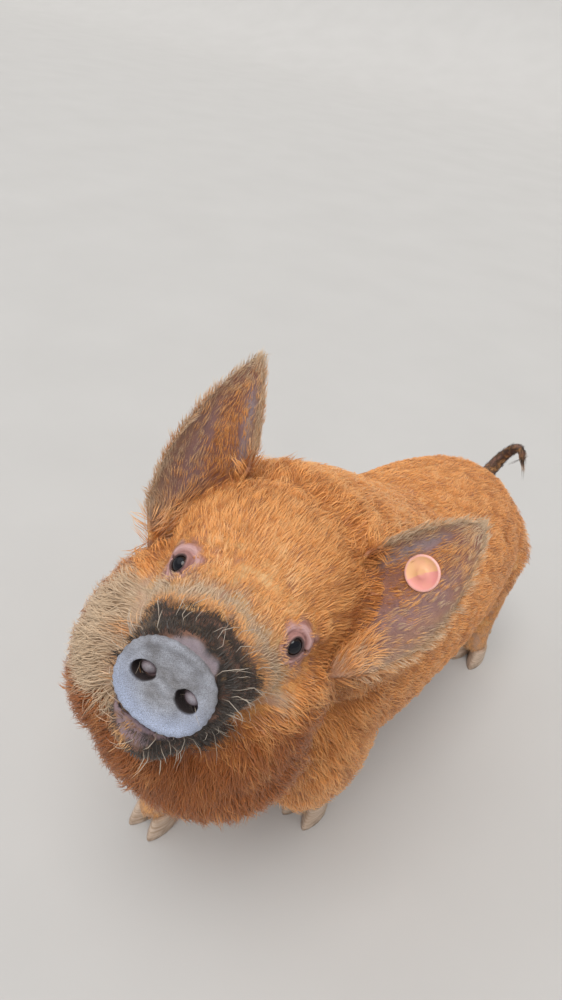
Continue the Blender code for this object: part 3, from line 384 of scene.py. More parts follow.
@dataclass(frozen=True)
class Trunk:
    """Trunk, neck and upper muscles, at the height of the skin."""

    torso: tuple = (
        (-0.384, 0.284, 0.030, 0.034),
        (-0.368, 0.285, 0.068, 0.078),
        (-0.320, 0.295, 0.108, 0.119),
        (-0.235, 0.312, 0.134, 0.150),
        (-0.125, 0.316, 0.148, 0.160),
        (0.000, 0.301, 0.153, 0.148),
        (0.105, 0.290, 0.150, 0.136),
        (0.200, 0.283, 0.140, 0.123),
        (0.278, 0.276, 0.121, 0.107),
        (0.330, 0.268, 0.090, 0.084),
        (0.354, 0.262, 0.052, 0.052),
        (0.362, 0.260, 0.024, 0.024),
    )
    neck: tuple = (
        (0.000, 0.040, 0.312, 0.118, 0.112),
        (0.000, -0.050, 0.348, 0.138, 0.128),
        (0.000, -0.120, 0.384, 0.143, 0.132),
        (0.002, -0.180, 0.422, 0.142, 0.130),
        (0.005, -0.245, 0.470, 0.136, 0.124),
        (0.010, -0.300, 0.518, 0.116, 0.106),
        (0.016, -0.330, 0.542, 0.078, 0.076),
    )
    shoulder: tuple = ((0.082, -0.240, 0.275), (0.060, 0.085, 0.125))
    ham: tuple = ((0.074, 0.256, 0.238), (0.068, 0.086, 0.114))

    def shapes(self) -> list[Shape]:
        """Return the closed masses of the trunk."""
        torso = [((0, y, z), wide, high) for y, z, wide, high in self.torso]
        neck = [((x, y, z), wide, high) for x, y, z, wide, high in self.neck]
        masses = [tube_shape(torso, EAST), tube_shape(neck, EAST)]
        for side in Side:
            for centre, radii in (self.shoulder, self.ham):
                masses.append(ball_shape(mirrored(centre, side.value), radii))
        return masses


@dataclass(frozen=True)
class Leg:
    """One leg from inside the trunk down into its hoof."""

    foot: Foot
    fore_root: tuple[float, float] = (0.086, -0.236)
    hind_root: tuple[float, float] = (0.088, 0.262)
    fore: tuple = (
        (1.00, 0.000, 0.290, 0.050, 0.070),
        (0.90, 0.004, 0.210, 0.045, 0.060),
        (0.58, 0.008, 0.150, 0.033, 0.041),
        (0.38, 0.000, 0.115, 0.0275, 0.0315),
        (0.16, 0.000, 0.082, 0.0215, 0.0240),
        (0.03, 0.002, 0.056, 0.0205, 0.0250),
        (0.00, -0.001, 0.040, 0.0240, 0.0285),
        (0.00, -0.003, 0.026, 0.0220, 0.0270),
    )
    hind: tuple = (
        (1.00, 0.000, 0.270, 0.056, 0.084),
        (0.90, 0.006, 0.205, 0.047, 0.068),
        (0.50, 0.034, 0.150, 0.031, 0.042),
        (0.30, 0.038, 0.122, 0.0250, 0.0320),
        (0.12, 0.020, 0.084, 0.0215, 0.0250),
        (0.03, 0.006, 0.056, 0.0210, 0.0260),
        (0.00, 0.001, 0.040, 0.0240, 0.0285),
        (0.00, -0.003, 0.026, 0.0220, 0.0270),
    )

    def root(self) -> tuple[float, float]:
        """Return where the top of the leg is rooted: x, y."""
        root_x, root_y = self.fore_root if self.foot.fore else self.hind_root
        return root_x * self.foot.sign, root_y

    def stations(self) -> list[tuple]:
        """Return centre, half width and half length of each ring, from the top down."""
        foot_x, foot_y = self.foot.value
        root_x, root_y = self.root()
        rings = []
        for share, shift, z, wide, long in self.fore if self.foot.fore else self.hind:
            x = foot_x + (root_x - foot_x) * share
            y = foot_y + (root_y - foot_y) * share + shift
            rings.append(((x, y, z), wide, long))
        return rings

    def shape(self) -> Shape:
        """Return the leg's closed mass."""
        return tube_shape(self.stations(), EAST, 36)


@dataclass(frozen=True)
class Tail:
    """The short curled tail."""

    stations: tuple = (
        (0.000, 0.345, 0.290, 0.0150),
        (0.001, 0.378, 0.306, 0.0135),
        (0.006, 0.402, 0.328, 0.0115),
        (0.016, 0.412, 0.354, 0.0095),
        (0.030, 0.406, 0.378, 0.0080),
        (0.045, 0.392, 0.388, 0.0065),
        (0.056, 0.376, 0.382, 0.0045),
    )

    def path(self, steps: int = 8) -> list[tuple[Vector, float]]:
        """Return points along the tail, with their radii, on a smooth curve."""
        knots = [(Vector(row[:3]), row[3]) for row in self.stations]
        path = []
        for index in range(len(knots) - 1):
            before = knots[max(index - 1, 0)][0]
            here, here_radius = knots[index]
            there, there_radius = knots[index + 1]
            after = knots[min(index + 2, len(knots) - 1)][0]
            for step in range(steps):
                t = step / steps
                bend = (2 * here + (there - before) * t + (2 * before - 5 * here + 4 * there - after) * t * t
                        + (3 * here - before - 3 * there + after) * t**3) * 0.5
                path.append((bend, here_radius + (there_radius - here_radius) * t))
        return path + [knots[-1]]

    def shape(self) -> Shape:
        """Return the tail's closed mass."""
        rings = [(place, radius, radius) for place, radius in self.path()]
        return tube_shape(rings, EAST, 24)


@dataclass(frozen=True)
class Head:
    """Masses of the head in its own frame, with its snout, mouth and lids."""

    cranium: tuple = ((0.0, 0.076, 0.006), (0.092, 0.086, 0.078))
    throat: tuple = ((0.020, 0.056, -0.142), (0.108, 0.084, 0.096))
    jaw: tuple = ((0.0, 0.004, -0.085), (0.062, 0.076, 0.044))
    chin: tuple = ((-0.002, -0.066, -0.090), (0.034, 0.043, 0.027))
    cheek: tuple = ((0.054, 0.046, -0.104), (0.062, 0.074, 0.104))
    brow: tuple = ((0.050, 0.016, 0.012), (0.028, 0.022, 0.016))
    lid_mound: tuple = ((0.054, 0.010, -0.001), (0.021, 0.018, 0.018))
    muzzle: tuple = (
        (0.040, -0.020, 0.082, 0.064),
        (0.000, -0.027, 0.070, 0.054),
        (-0.035, -0.033, 0.058, 0.046),
        (-0.072, -0.035, 0.049, 0.041),
        (-0.102, -0.032, 0.042, 0.037),
        (-0.113, -0.030, 0.030, 0.028),
    )
    disc_centre: Place = (-0.0030, -0.1200, -0.0300)
    disc_half_width: float = 0.0400
    disc_half_height: float = 0.0345
    disc_slope: float = math.radians(5)
    disc_square: float = 0.88
    disc_sides: int = 96
    disc_rings: tuple = (
        (0.0130, 0.80),
        (0.0078, 0.97),
        (0.0050, 0.995),
        (0.0031, 1.00),
        (0.0015, 0.975),
        (0.0006, 0.94),
        (0.0000, 0.88),
        (0.0006, 0.80),
        (0.0018, 0.66),
        (0.0022, 0.30),
    )
    nostril_place: Place = (0.0190, 0.0020, 0.0010)
    nostril_radii: Place = (0.0102, 0.0125, 0.0086)
    nostril_slant: float = math.radians(24)
    flap_place: Place = (0.0018, 0.0108, 0.0030)
    flap_radii: Place = (0.0080, 0.0092, 0.0066)
    mouth_height: float = -0.0750
    mouth_axis_y: float = -0.048
    mouth_angle: float = math.radians(82)
    mouth_drop: float = 0.009
    mouth_rise: float = 0.006
    mouth_steps: int = 41
    groove_radius: float = 0.0016
    lip_radius: float = 0.0042
    bare_chin: tuple = ((-0.008, -0.102, -0.086), (0.020, 0.018, 0.010))

    def ball(self, mass: tuple, side: int = 1) -> Shape:
        """Return one round mass of the head, in the whole pig's frame."""
        centre, radii = mass
        return ball_shape(HEAD.place(centre, side), radii, HEAD.matrix().to_3x3())

    def masses(self) -> list[Shape]:
        """Return the closed masses that give the head its main form."""
        masses = [self.ball(mass) for mass in (self.cranium, self.throat, self.jaw, self.chin)]
        for side in Side:
            for mass in (self.cheek, self.brow, self.lid_mound):
                masses.append(self.ball(mass, side.value))
        rings = [((0, y, z), wide, high) for y, z, wide, high in self.muzzle]
        points, faces = tube_shape(rings, EAST)
        masses.append(([HEAD.matrix() @ point for point in points], faces))
        return masses

    def disc_frame(self) -> Matrix:
        """Return the matrix from the disc's own frame to the whole pig's."""
        slope = Matrix.Rotation(-self.disc_slope, 4, "X")
        return HEAD.matrix() @ Matrix.Translation(self.disc_centre) @ slope

    def disc(self) -> Shape:
        """Return the disc of the snout, with its rounded rim and shallow dish."""
        points = []
        sides = self.disc_sides
        for depth, share in self.disc_rings:
            for side in range(sides):
                angle = 2 * math.pi * side / sides
                wide = math.copysign(abs(math.cos(angle)) ** self.disc_square, math.cos(angle))
                high = math.copysign(abs(math.sin(angle)) ** self.disc_square, math.sin(angle))
                x = self.disc_half_width * share * wide
                z = self.disc_half_height * share * high
                points.append(self.disc_frame() @ Vector((x, depth, z)))
        return points, loft_faces(len(self.disc_rings), sides)

    def disc_local(self, points: np.ndarray) -> np.ndarray:
        """Return points of the whole pig's frame in the disc's own frame, as rows of x, y and z."""
        back = np.array(self.disc_frame().inverted())
        return (points @ back[:3, :3].T + back[:3, 3]).T

    def nostril_middle(self, side: Side) -> Vector:
        """Return the middle of one nostril in the disc's own frame."""
        return mirrored(self.nostril_place, side.value)

    def flap_middle(self, side: Side) -> Vector:
        """Return the middle of the fleshy flap inside one nostril, in the disc's own frame."""
        return self.nostril_middle(side) + Vector(self.flap_place)

    def nostrils(self) -> list[Shape]:
        """Return the cutters of both nostrils, each without its flap."""
        cutters = []
        frame_of = self.disc_frame()
        for side in Side:
            slant = frame_of.to_3x3() @ Matrix.Rotation(self.nostril_slant * side.value, 3, "Y")
            place = frame_of @ self.nostril_middle(side)
            hole = make_object("hole", [ball_shape(place, self.nostril_radii, slant, 4)])
            carve(hole, [ball_shape(frame_of @ self.flap_middle(side), self.flap_radii, slant, 4)])
            cutters.append(shape_of(hole))
        return cutters

    def mouth_line(self, tree: BVHTree, lower: float) -> list[Vector]:
        """Return points on the muzzle along the line of the mouth, which hangs on the right side."""
        frame_of = HEAD.matrix()
        path = []
        for step in range(self.mouth_steps):
            angle = self.mouth_angle * (2 * step / (self.mouth_steps - 1) - 1)
            outward = Vector((math.sin(angle), -math.cos(angle), 0))
            height = self.mouth_height - lower + self.mouth_rise * (1 - math.cos(angle))
            height -= self.mouth_drop * min(max(-math.sin(angle), 0.0) * 2, 1.0) ** 2
            start = Vector((0, self.mouth_axis_y, height)) + outward * 0.2
            place, _, _, _ = tree.ray_cast(frame_of @ start, frame_of.to_3x3() @ -outward)
            if place:
                path.append(place)
        return path

    def lip(self, tree: BVHTree) -> Shape:
        """Return the roll of the lower lip."""
        path = self.mouth_line(tree, self.lip_radius * 1.1)
        return self.roll(path, self.lip_radius, 0.8)

    def groove(self, tree: BVHTree) -> Shape:
        """Return the cutter of the mouth's line."""
        return self.roll(self.mouth_line(tree, 0.0), self.groove_radius, 2.0)

    def roll(self, path: list[Vector], radius: float, flat: float) -> Shape:
        """Return a roll along a path, thin at its ends."""
        up = HEAD.way((0, 0, 1))
        rings = []
        for index, place in enumerate(path):
            thin = radius * (0.30 + 0.70 * math.sin(math.pi * index / (len(path) - 1)))
            rings.append((place, thin, thin * flat))
        return tube_shape(rings, up, 12)


@dataclass(frozen=True)
class Lids:
    """The lids of one eye, in the eye's own frame: x towards the ear, z up, -y outward."""

    side: Side
    radius: float = 0.0118
    aim: Place = (0.52, -0.80, 0.26)
    half_width: float = 0.0060
    open_up: float = 0.0080
    open_down: float = 0.0078
    roll: float = 0.0030
    clear: float = 0.00025
    patch_place: tuple[float, float] = (0.0038, 0.0006)
    patch_radii: tuple[float, float] = (0.0195, 0.0240)
    patch_turn: float = math.radians(28)

    def centre(self) -> Vector:
        """Return the middle of the eyeball."""
        return box_middle("eye_" + self.side.word)

    def turn(self) -> Matrix:
        """Return the turn of the eye's own frame."""
        return turned_to(HEAD.way(self.aim, self.side.value), HEAD.way((0, 0, 1)))

    def rolls(self) -> list[Shape]:
        """Return the margins of both lids, as bent rolls round the eyeball."""
        rolls = []
        steps = 25
        for rise in (self.open_up, -self.open_down):
            rings = []
            for step in range(steps):
                angle = math.pi * step / (steps - 1)
                x = self.half_width * math.cos(angle) * 1.14
                z = math.copysign(abs(rise) + self.roll * 0.7, rise) * math.sin(angle)
                thick = self.roll * (0.55 + 0.45 * math.sin(angle))
                depth = math.sqrt(max((self.radius + 0.0006) ** 2 - x * x - z * z, 0.0))
                rings.append((self.centre() + self.turn() @ Vector((x, -depth, z)), thick, thick))
            rolls.append(tube_shape(rings, self.turn() @ Vector((0, 1, 0)), 16))
        return rolls

    def socket(self) -> Shape:
        """Return the cutter that makes room for the eyeball."""
        return ball_shape(self.centre(), [self.radius + self.clear] * 3, None, 4)

    def opening(self) -> Shape:
        """Return the cutter of the slit between the lids."""
        turn = self.turn()
        rise = (self.open_up - self.open_down) / 2
        middle = self.centre() + turn @ Vector((0, -self.radius, rise))
        radii = (self.half_width, self.radius, (self.open_up + self.open_down) / 2)
        return ball_shape(middle, radii, turn, 4)

    def local(self, points: np.ndarray) -> np.ndarray:
        """Return points of the whole pig's frame in the eye's own frame, x towards the ear."""
        away = points - np.array(self.centre())
        local = away @ np.array(self.turn())
        local[:, 0] *= self.side.value
        return local

    def beyond(self, local: np.ndarray) -> np.ndarray:
        """Return how far points in the eye's own frame lie outside the slit, seen from the front."""
        x, z = local[:, 0], local[:, 2]
        high = np.where(z > 0, self.open_up, self.open_down)
        reach = np.hypot(x, z)
        share = np.hypot(x / self.half_width, z / high)
        return reach - reach / np.maximum(share, 1e-6)

    def patch(self, local: np.ndarray) -> np.ndarray:
        """Return 1 on the bare skin round the eye and 0 outside it."""
        x = local[:, 0] - self.patch_place[0]
        z = local[:, 2] - self.patch_place[1]
        cos, sin = math.cos(self.patch_turn), math.sin(self.patch_turn)
        wide = (x * cos + z * sin) / self.patch_radii[0]
        high = (z * cos - x * sin) / self.patch_radii[1]
        ragged = 0.07 * np.sin(np.arctan2(z, x) * 7) + 0.05 * np.sin(np.arctan2(z, x) * 12 + 2)
        return (1.0 - smooth_step(np.hypot(wide, high) + ragged, 0.72, 1.08)) * (local[:, 1] < 0.012)


@dataclass(frozen=True)
class Ear:
    """One cupped ear, given by the curves of its two margins in the head's frame."""

    side: Side
    cup: float = 0.040
    thickness: float = 0.0042
    root: float = 0.16
    steps: int = 60
    across: int = 41
    hair_reach: float = 0.14
    hair_touch: float = 0.010
    coat_reach: float = 0.12
    coat_touch: float = 0.0065

    def margins(self) -> tuple[tuple, tuple]:
        """Return the control points of the inner and of the outer margin."""
        if self.side is Side.LEFT:
            return (
                ((0.068, 0.086, 0.078), (0.084, 0.088, 0.112), (0.104, 0.088, 0.142), (0.134, 0.090, 0.158)),
                ((0.112, 0.040, -0.018), (0.160, 0.050, 0.020), (0.172, 0.066, 0.082), (0.140, 0.088, 0.156)))
        return (
            ((-0.068, 0.086, 0.078), (-0.078, 0.086, 0.116), (-0.096, 0.088, 0.152), (-0.112, 0.090, 0.170)),
            ((-0.108, 0.040, -0.016), (-0.142, 0.044, 0.024), (-0.146, 0.064, 0.098), (-0.117, 0.088, 0.170)))

    @staticmethod
    def curve(points: Sequence[Place], share: float) -> Vector:
        """Return a point of the cubic curve through four control points."""
        a, b, c, d = (Vector(point) for point in points)
        rest = 1.0 - share
        return a * rest**3 + b * (3 * rest**2 * share) + c * (3 * rest * share**2) + d * share**3

    def sheet(self, along: float, across: float) -> Vector:
        """Return a point of the ear's middle sheet, in the head's frame.

        Args:
            along: 0 at the base, 1 at the tip, less than 0 inside the head.
            across: 0 at the inner margin, 1 at the outer one.

        Returns:
            The point.
        """
        inner_points, outer_points = self.margins()
        share = max(along, 0.0)
        inner = self.curve(inner_points, share)
        outer = self.curve(outer_points, share)
        bow = max(4 * across * (1 - across), 0.0) ** 0.8
        cup = self.cup * max(1 - share, 0.0) ** 1.1
        point = inner.lerp(outer, across) + Vector((0, 1, 0)) * (cup * bow)
        if along < 0:
            middle = self.curve(inner_points, 0).lerp(self.curve(outer_points, 0), 0.5)
            tip = self.curve(inner_points, 1)
            point = point.lerp(middle, -along * 1.2) + (tip - middle) * along
        return point

    def normal(self, along: float, across: float) -> Vector:
        """Return the direction out of the hollow side of the ear, in the head's frame."""
        up = self.sheet(along + 0.02, across) - self.sheet(along - 0.02, across)
        wide = self.sheet(along, min(across + 0.03, 1.0)) - self.sheet(along, max(across - 0.03, 0.0))
        normal = up.cross(wide).normalized()
        if normal.y > 0:
            normal = -normal
        return normal.lerp(Vector((0, -1, 0)), max(along, 0.0) ** 2).normalized()

    def shape(self) -> Shape:
        """Return the ear as a closed sheet of even thickness, in the whole pig's frame."""
        rows = [-self.root, -self.root / 2] + [step / self.steps for step in range(self.steps + 1)]
        front = []
        back = []
        for along in rows:
            for index in range(self.across):
                across = index / (self.across - 1)
                place = self.sheet(along, across)
                out = self.normal(along, across) * (self.thickness / 2)
                front.append(HEAD.place(place + out))
                back.append(HEAD.place(place - out))
        faces = []
        shift = len(front)
        wide = self.across
        for row in range(len(rows) - 1):
            for column in range(wide - 1):
                corner = row * wide + column
                face = (corner, corner + 1, corner + 1 + wide, corner + wide)
                faces.append(face)
                faces.append(tuple(shift + index for index in reversed(face)))
        last = (len(rows) - 1) * wide
        rim = list(range(wide)) + [row * wide + wide - 1 for row in range(1, len(rows))]
        rim += [last + column for column in range(wide - 2, -1, -1)]
        rim += [row * wide for row in range(len(rows) - 2, 0, -1)]
        for index, here in enumerate(rim):
            after = rim[(index + 1) % len(rim)]
            faces.append((after, here, here + shift, after + shift))
        return front + back, faces

    def grid(self) -> list[tuple[Vector, float, float, float]]:
        """Return points of both faces with along, across and 1 for the hollow face, -1 for the other."""
        samples = []
        for step in range(0, self.steps + 1, 2):
            for index in range(0, self.across, 2):
                along = step / self.steps
                across = index / (self.across - 1)
                place = self.sheet(along, across)
                out = self.normal(along, across) * (self.thickness / 2)
                for face in (1, -1):
                    samples.append((HEAD.place(place + out * face), along, across, face))
        return samples


@dataclass(frozen=True)
class Anchor:
    """How the hair lies round one place; head anchors are in the head's frame."""

    place: Place
    lie: Place
    length: float
    head: bool = True
    reach: float = 0.040
    lift: float = 1.0
    dark: float = 0.0
    pale: float = 0.0
    rust: float = 0.0
    density: float = 1.0


HAIR_VALUES = ("length", "lift", "dark", "pale", "rust", "density")
HEAD_HAIR = (
    Anchor((0.000, -0.085, 0.006), (0.0, 0.85, 0.50), 0.010, dark=0.45, lift=0.8, reach=0.022),
    Anchor((0.000, -0.045, 0.022), (0.0, 0.80, 0.55), 0.011, dark=0.15, pale=0.45, lift=0.8, reach=0.026),
    Anchor((0.000, 0.000, 0.058), (0.0, 0.55, 0.80), 0.014, lift=0.9, rust=-0.50),
    Anchor((0.000, 0.040, 0.082), (0.0, 0.80, 0.60), 0.018, lift=0.9, rust=-0.10, density=0.85),
    Anchor((0.045, 0.030, 0.072), (0.35, 0.75, 0.60), 0.018, lift=0.9, rust=0.30),
    Anchor((0.000, 0.100, 0.088), (0.0, 1.00, -0.05), 0.026),
    Anchor((0.050, 0.100, 0.085), (0.1, 1.00, 0.10), 0.026, rust=0.35),
    Anchor((0.000, 0.140, 0.040), (0.0, 0.80, -0.60), 0.032),
    Anchor((0.036, -0.012, 0.030), (0.25, 0.50, 0.85), 0.012, lift=0.8, rust=-0.30, reach=0.024),
    Anchor((0.030, -0.030, 0.000), (0.15, 0.85, 0.50), 0.011, lift=0.8, pale=0.50, reach=0.022),
    Anchor((0.070, 0.020, 0.036), (0.60, 0.60, 0.55), 0.016, lift=0.9, rust=0.50, reach=0.028),
    Anchor((0.082, 0.032, 0.002), (0.75, 0.65, 0.00), 0.018, rust=0.40, reach=0.026),
    Anchor((0.050, -0.024, -0.034), (0.60, 0.70, -0.35), 0.014, lift=0.9, pale=0.60, reach=0.026),
    Anchor((0.074, -0.004, -0.040), (0.65, 0.65, -0.30), 0.020, pale=0.35, rust=-0.30, reach=0.026),
    Anchor((0.046, -0.070, -0.035), (0.55, 0.80, -0.20), 0.013, dark=0.30, reach=0.024),
    Anchor((0.042, -0.098, -0.035), (0.80, 0.60, -0.15), 0.013, lift=1.1, dark=0.85, reach=0.018),
    Anchor((0.024, -0.098, 0.000), (0.45, 0.65, 0.65), 0.011, dark=0.80, reach=0.018),
    Anchor((0.000, -0.098, 0.004), (0.00, 0.70, 0.75), 0.010, dark=0.70, reach=0.018),
    Anchor((0.034, -0.094, -0.064), (0.70, 0.50, -0.55), 0.014, lift=1.2, dark=0.45, pale=0.35, reach=0.018),
    Anchor((0.000, -0.096, -0.094), (0.00, 0.60, -0.80), 0.011, pale=0.40, reach=0.024),
    Anchor((0.090, 0.040, -0.060), (0.55, 0.75, -0.35), 0.034, lift=1.1, rust=0.90),
    # The deep rust and dark on the lower cheeks, jaw and throat are partly the coat's own colour and partly
    # painted shade under the head.
    Anchor((0.088, 0.010, -0.076), (0.55, 0.70, -0.45), 0.030, lift=1.1, dark=0.22, rust=1.60, reach=0.030),
    Anchor((0.108, 0.060, -0.100), (0.50, 0.75, -0.50), 0.042, lift=1.2, dark=0.20, rust=1.40),
    Anchor((0.085, 0.000, -0.110), (0.50, 0.60, -0.65), 0.032, lift=1.1, dark=0.15, rust=1.40),
    Anchor((0.090, 0.040, -0.180), (0.35, 0.50, -0.80), 0.042, lift=1.2, dark=0.12, rust=1.40),
    Anchor((0.045, -0.045, -0.090), (0.50, 0.65, -0.60), 0.022, dark=0.30, pale=0.20, rust=0.70, reach=0.028),
    Anchor((0.030, 0.000, -0.140), (0.25, 0.60, -0.75), 0.034, lift=1.1, dark=0.24, rust=1.40),
    Anchor((0.000, 0.040, -0.220), (0.00, 0.50, -0.85), 0.040, lift=1.1, dark=0.15, rust=1.40),
    Anchor((0.100, 0.110, -0.060), (0.30, 0.95, -0.30), 0.038, lift=1.1, rust=0.60),
    Anchor((0.090, 0.090, 0.046), (0.30, 0.95, 0.10), 0.024, rust=0.90, reach=0.026),
    Anchor((0.114, 0.046, -0.014), (0.55, 0.75, 0.20), 0.026, pale=0.55, rust=-0.20, reach=0.026),
    Anchor((0.090, 0.120, -0.180), (0.20, 0.80, -0.65), 0.040, lift=1.2, rust=0.90),
)
BODY_HAIR = (
    Anchor((0.000, -0.240, 0.590), (0.0, 0.85, -0.50), 0.036, False, 0.070),
    Anchor((0.000, -0.140, 0.510), (0.0, 0.90, -0.42), 0.036, False, 0.070, rust=-0.30),
    Anchor((0.000, 0.000, 0.450), (0.0, 1.00, -0.10), 0.034, False, 0.070),
    Anchor((0.000, 0.120, 0.425), (0.0, 1.00, 0.05), 0.034, False, 0.070),
    Anchor((0.000, 0.260, 0.380), (0.0, 0.90, -0.35), 0.034, False, 0.070, rust=0.15),
    Anchor((0.000, 0.340, 0.330), (0.0, 0.60, -0.75), 0.030, False, 0.050, rust=0.20),
    Anchor((0.040, 0.360, 0.230), (0.1, 0.15, -1.00), 0.034, False, 0.060, rust=0.20),
    Anchor((0.140, -0.240, 0.480), (0.15, 0.70, -0.70), 0.040, False, 0.070, 1.1, rust=0.20),
    Anchor((0.140, -0.120, 0.400), (0.05, 0.90, -0.55), 0.038, False, 0.070, 1.0, rust=0.20),
    Anchor((0.000, -0.330, 0.400), (0.0, 0.30, -1.00), 0.040, False, 0.070, 1.2, rust=0.40),
    Anchor((0.100, -0.300, 0.380), (0.1, 0.45, -0.90), 0.040, False, 0.070, 1.2, rust=0.30),
    Anchor((0.000, -0.380, 0.290), (0.0, 0.20, -1.00), 0.038, False, 0.060, 1.1, rust=0.30),
    Anchor((0.140, -0.220, 0.280), (0.0, 0.60, -0.80), 0.036, False, 0.070),
    Anchor((0.150, -0.080, 0.300), (0.0, 0.92, -0.42), 0.035, False, 0.080, rust=0.10),
    Anchor((0.152, 0.060, 0.300), (0.0, 0.95, -0.32), 0.034, False, 0.080, rust=0.10),
    Anchor((0.140, 0.200, 0.290), (0.0, 0.88, -0.50), 0.034, False, 0.080, rust=0.10),
    Anchor((0.120, 0.290, 0.240), (0.0, 0.50, -0.85), 0.034, False, 0.070),
    Anchor((0.120, 0.000, 0.200), (0.0, 0.85, -0.55), 0.036, False, 0.060, 1.1, rust=0.30),
    Anchor((0.000, -0.100, 0.155), (0.0, 0.95, -0.20), 0.026, False, 0.070, pale=0.30, density=0.6),
    Anchor((0.000, 0.120, 0.150), (0.0, 0.95, -0.20), 0.026, False, 0.070, pale=0.30, density=0.6),
    Anchor((0.000, 0.300, 0.190), (0.0, 0.50, -0.80), 0.026, False, 0.060, pale=0.20, density=0.7),
)
# Hair of a leg: height, lie backward, length, pale, density
LEG_HAIR = (
    (0.185, 0.30, 0.030, 0.05, 1.0),
    (0.145, 0.25, 0.020, 0.15, 1.0),
    (0.105, 0.20, 0.013, 0.28, 1.0),
    (0.070, 0.15, 0.010, 0.38, 1.0),
    (0.040, 0.12, 0.009, 0.45, 1.0),
)


@dataclass
class Skin:
    """The one skin over trunk, head, ears, tail and legs, with what the coat reads from it."""

    name: str = "skin"
    core_voxel: float = 0.004
    core_rounds: int = 24
    voxel: float = 0.0016
    rounds: int = 5
    triangles: int = 186000
    fine_reach: float = 0.030
    replaced: tuple[str, ...] = ("torso", "neck", "head", "ear_left", "ear_right", "tail")
    mouth: list[Vector] = field(default_factory=list)

    def build(self) -> Object:
        """Build the skin's mesh and store what its materials and the coat need."""
        obj = self.form()
        self.soften(obj)
        self.refine(obj)
        self.sculpt(obj)
        self.thin_out(obj)
        self.describe(obj)
        obj.data.transform(Matrix.Translation(SHIFT))
        obj.data.shade_smooth()
        return obj

    def form(self) -> Object:
        """Fuse all masses and cut nostrils, mouth and eyes."""
        head = Head()
        masses = Trunk().shapes() + head.masses() + [Leg(foot).shape() for foot in Foot]
        core = shape_of(fuse("core", masses, self.core_voxel, self.core_rounds))
        tree = BVHTree.FromPolygons(*core)
        self.mouth = head.mouth_line(tree, 0.0)
        forms = [core, head.disc(), head.lip(tree), Tail().shape()]
        for side in Side:
            forms += Lids(side).rolls() + [Ear(side).shape()]
        voxel = self.voxel * 1.0
        obj = fuse(self.name, forms, voxel, self.rounds)
        carve(obj, [head.groove(tree)] + head.nostrils())
        carve(obj, [Lids(side).socket() for side in Side])
        return carve(obj, [Lids(side).opening() for side in Side])

    def soften(self, obj: Object) -> None:
        """Round the edges that the cuts left at the nostrils and the mouth."""
        points = points_of(obj)
        local = HEAD.local(points)
        weight = 1.0 - smooth_step(local[:, 1], -0.040, -0.020)
        pairs = np.empty(len(obj.data.edges) * 2, dtype=np.int32)
        obj.data.edges.foreach_get("vertices", pairs)
        pairs = pairs.reshape(-1, 2)
        near = (weight[pairs[:, 0]] > 0) & (weight[pairs[:, 1]] > 0)
        pairs = pairs[near]
        count = np.bincount(pairs.ravel(), minlength=len(points)).clip(1)
        for _ in range(3):
            total = np.zeros_like(points)
            for axis in range(3):
                total[:, axis] += np.bincount(pairs[:, 0], points[pairs[:, 1], axis], len(points))
                total[:, axis] += np.bincount(pairs[:, 1], points[pairs[:, 0], axis], len(points))
            mean = total / count[:, None]
            share = (0.5 * (weight > 0) * (count > 2))[:, None]
            points = points + (mean - points) * share
        put_points(obj, points)

    def refine(self, obj: Object) -> None:
        """Split the faces round both eyes, so that the folds of the lids come out sharp."""
        points = points_of(obj)
        near = np.zeros(len(points), dtype=bool)
        for side in Side:
            near |= np.linalg.norm(Lids(side).local(points), axis=1) < self.fine_reach
        build = bmesh.new()
        build.from_mesh(obj.data)
        edges = [edge for edge in build.edges if near[edge.verts[0].index] or near[edge.verts[1].index]]
        bmesh.ops.subdivide_edges(build, edges=edges, cuts=1, use_grid_fill=True)
        build.to_mesh(obj.data)
        build.free()

    def sculpt(self, obj: Object) -> None:
        """Press the folds of the lids and the wrinkles of the snout into the skin."""
        points = points_of(obj)
        push = self.lid_folds(points) + self.snout_folds(points)
        put_points(obj, points + normals_of(obj) * push[:, None])

    @staticmethod
    def lid_folds(points: np.ndarray) -> np.ndarray:
        """Return how far each point is pushed out by the folds round both eyes."""
        push = np.zeros(len(points))
        for side in Side:
            lids = Lids(side)
            local = lids.local(points)
            x, z = local[:, 0], local[:, 2]
            away = lids.beyond(local)
            near = (np.linalg.norm(local, axis=1) < 0.045) & (local[:, 1] < 0.004)
            above = smooth_step(z, -0.003, 0.004)
            fold = Skin.ridge(away, 0.0084, 0.0034, 0.0019) - Skin.ridge(away, 0.0046, 0.0011, 0.0015)
            fold = (fold - Skin.ridge(away, 0.0138, 0.0014, 0.0012)) * above
            lower = Skin.ridge(away, 0.0068, 0.0022, 0.0012) - Skin.ridge(away, 0.0042, 0.0009, 0.0013)
            lower -= Skin.ridge(away, 0.0100, 0.0010, 0.0012) + Skin.ridge(away, 0.0142, 0.0010, 0.0010)
            fold += lower * (1.0 - above)
            corner = Skin.ridge(z + 0.20 * (x - lids.half_width), 0.0, 0.0012, 0.0026)
            fold -= corner * smooth_step(x, 0.0058, 0.0080) * (1.0 - smooth_step(x, 0.0150, 0.0200))
            tear = Skin.ridge(z + 0.0030, 0.0, 0.0010, 0.0014)
            fold -= tear * smooth_step(-x, 0.0060, 0.0080) * (1.0 - smooth_step(-x, 0.0110, 0.0140))
            wrinkle = np.sin(away * 2500 + 1.6 * np.sin(x * 620 + 2.0) + 1.2 * np.sin(z * 500))
            wrinkled = smooth_step(away, 0.003, 0.006) * (1.0 - smooth_step(away, 0.014, 0.020))
            fold += 0.00032 * wrinkle * wrinkled
            push += fold * near
        return push

    @staticmethod
    def ridge(values: np.ndarray, middle: float, width: float, height: float) -> np.ndarray:
        """Return a rounded ridge of a height and width round the middle of the values."""
        return height * np.exp(-(((values - middle) / width) ** 2))

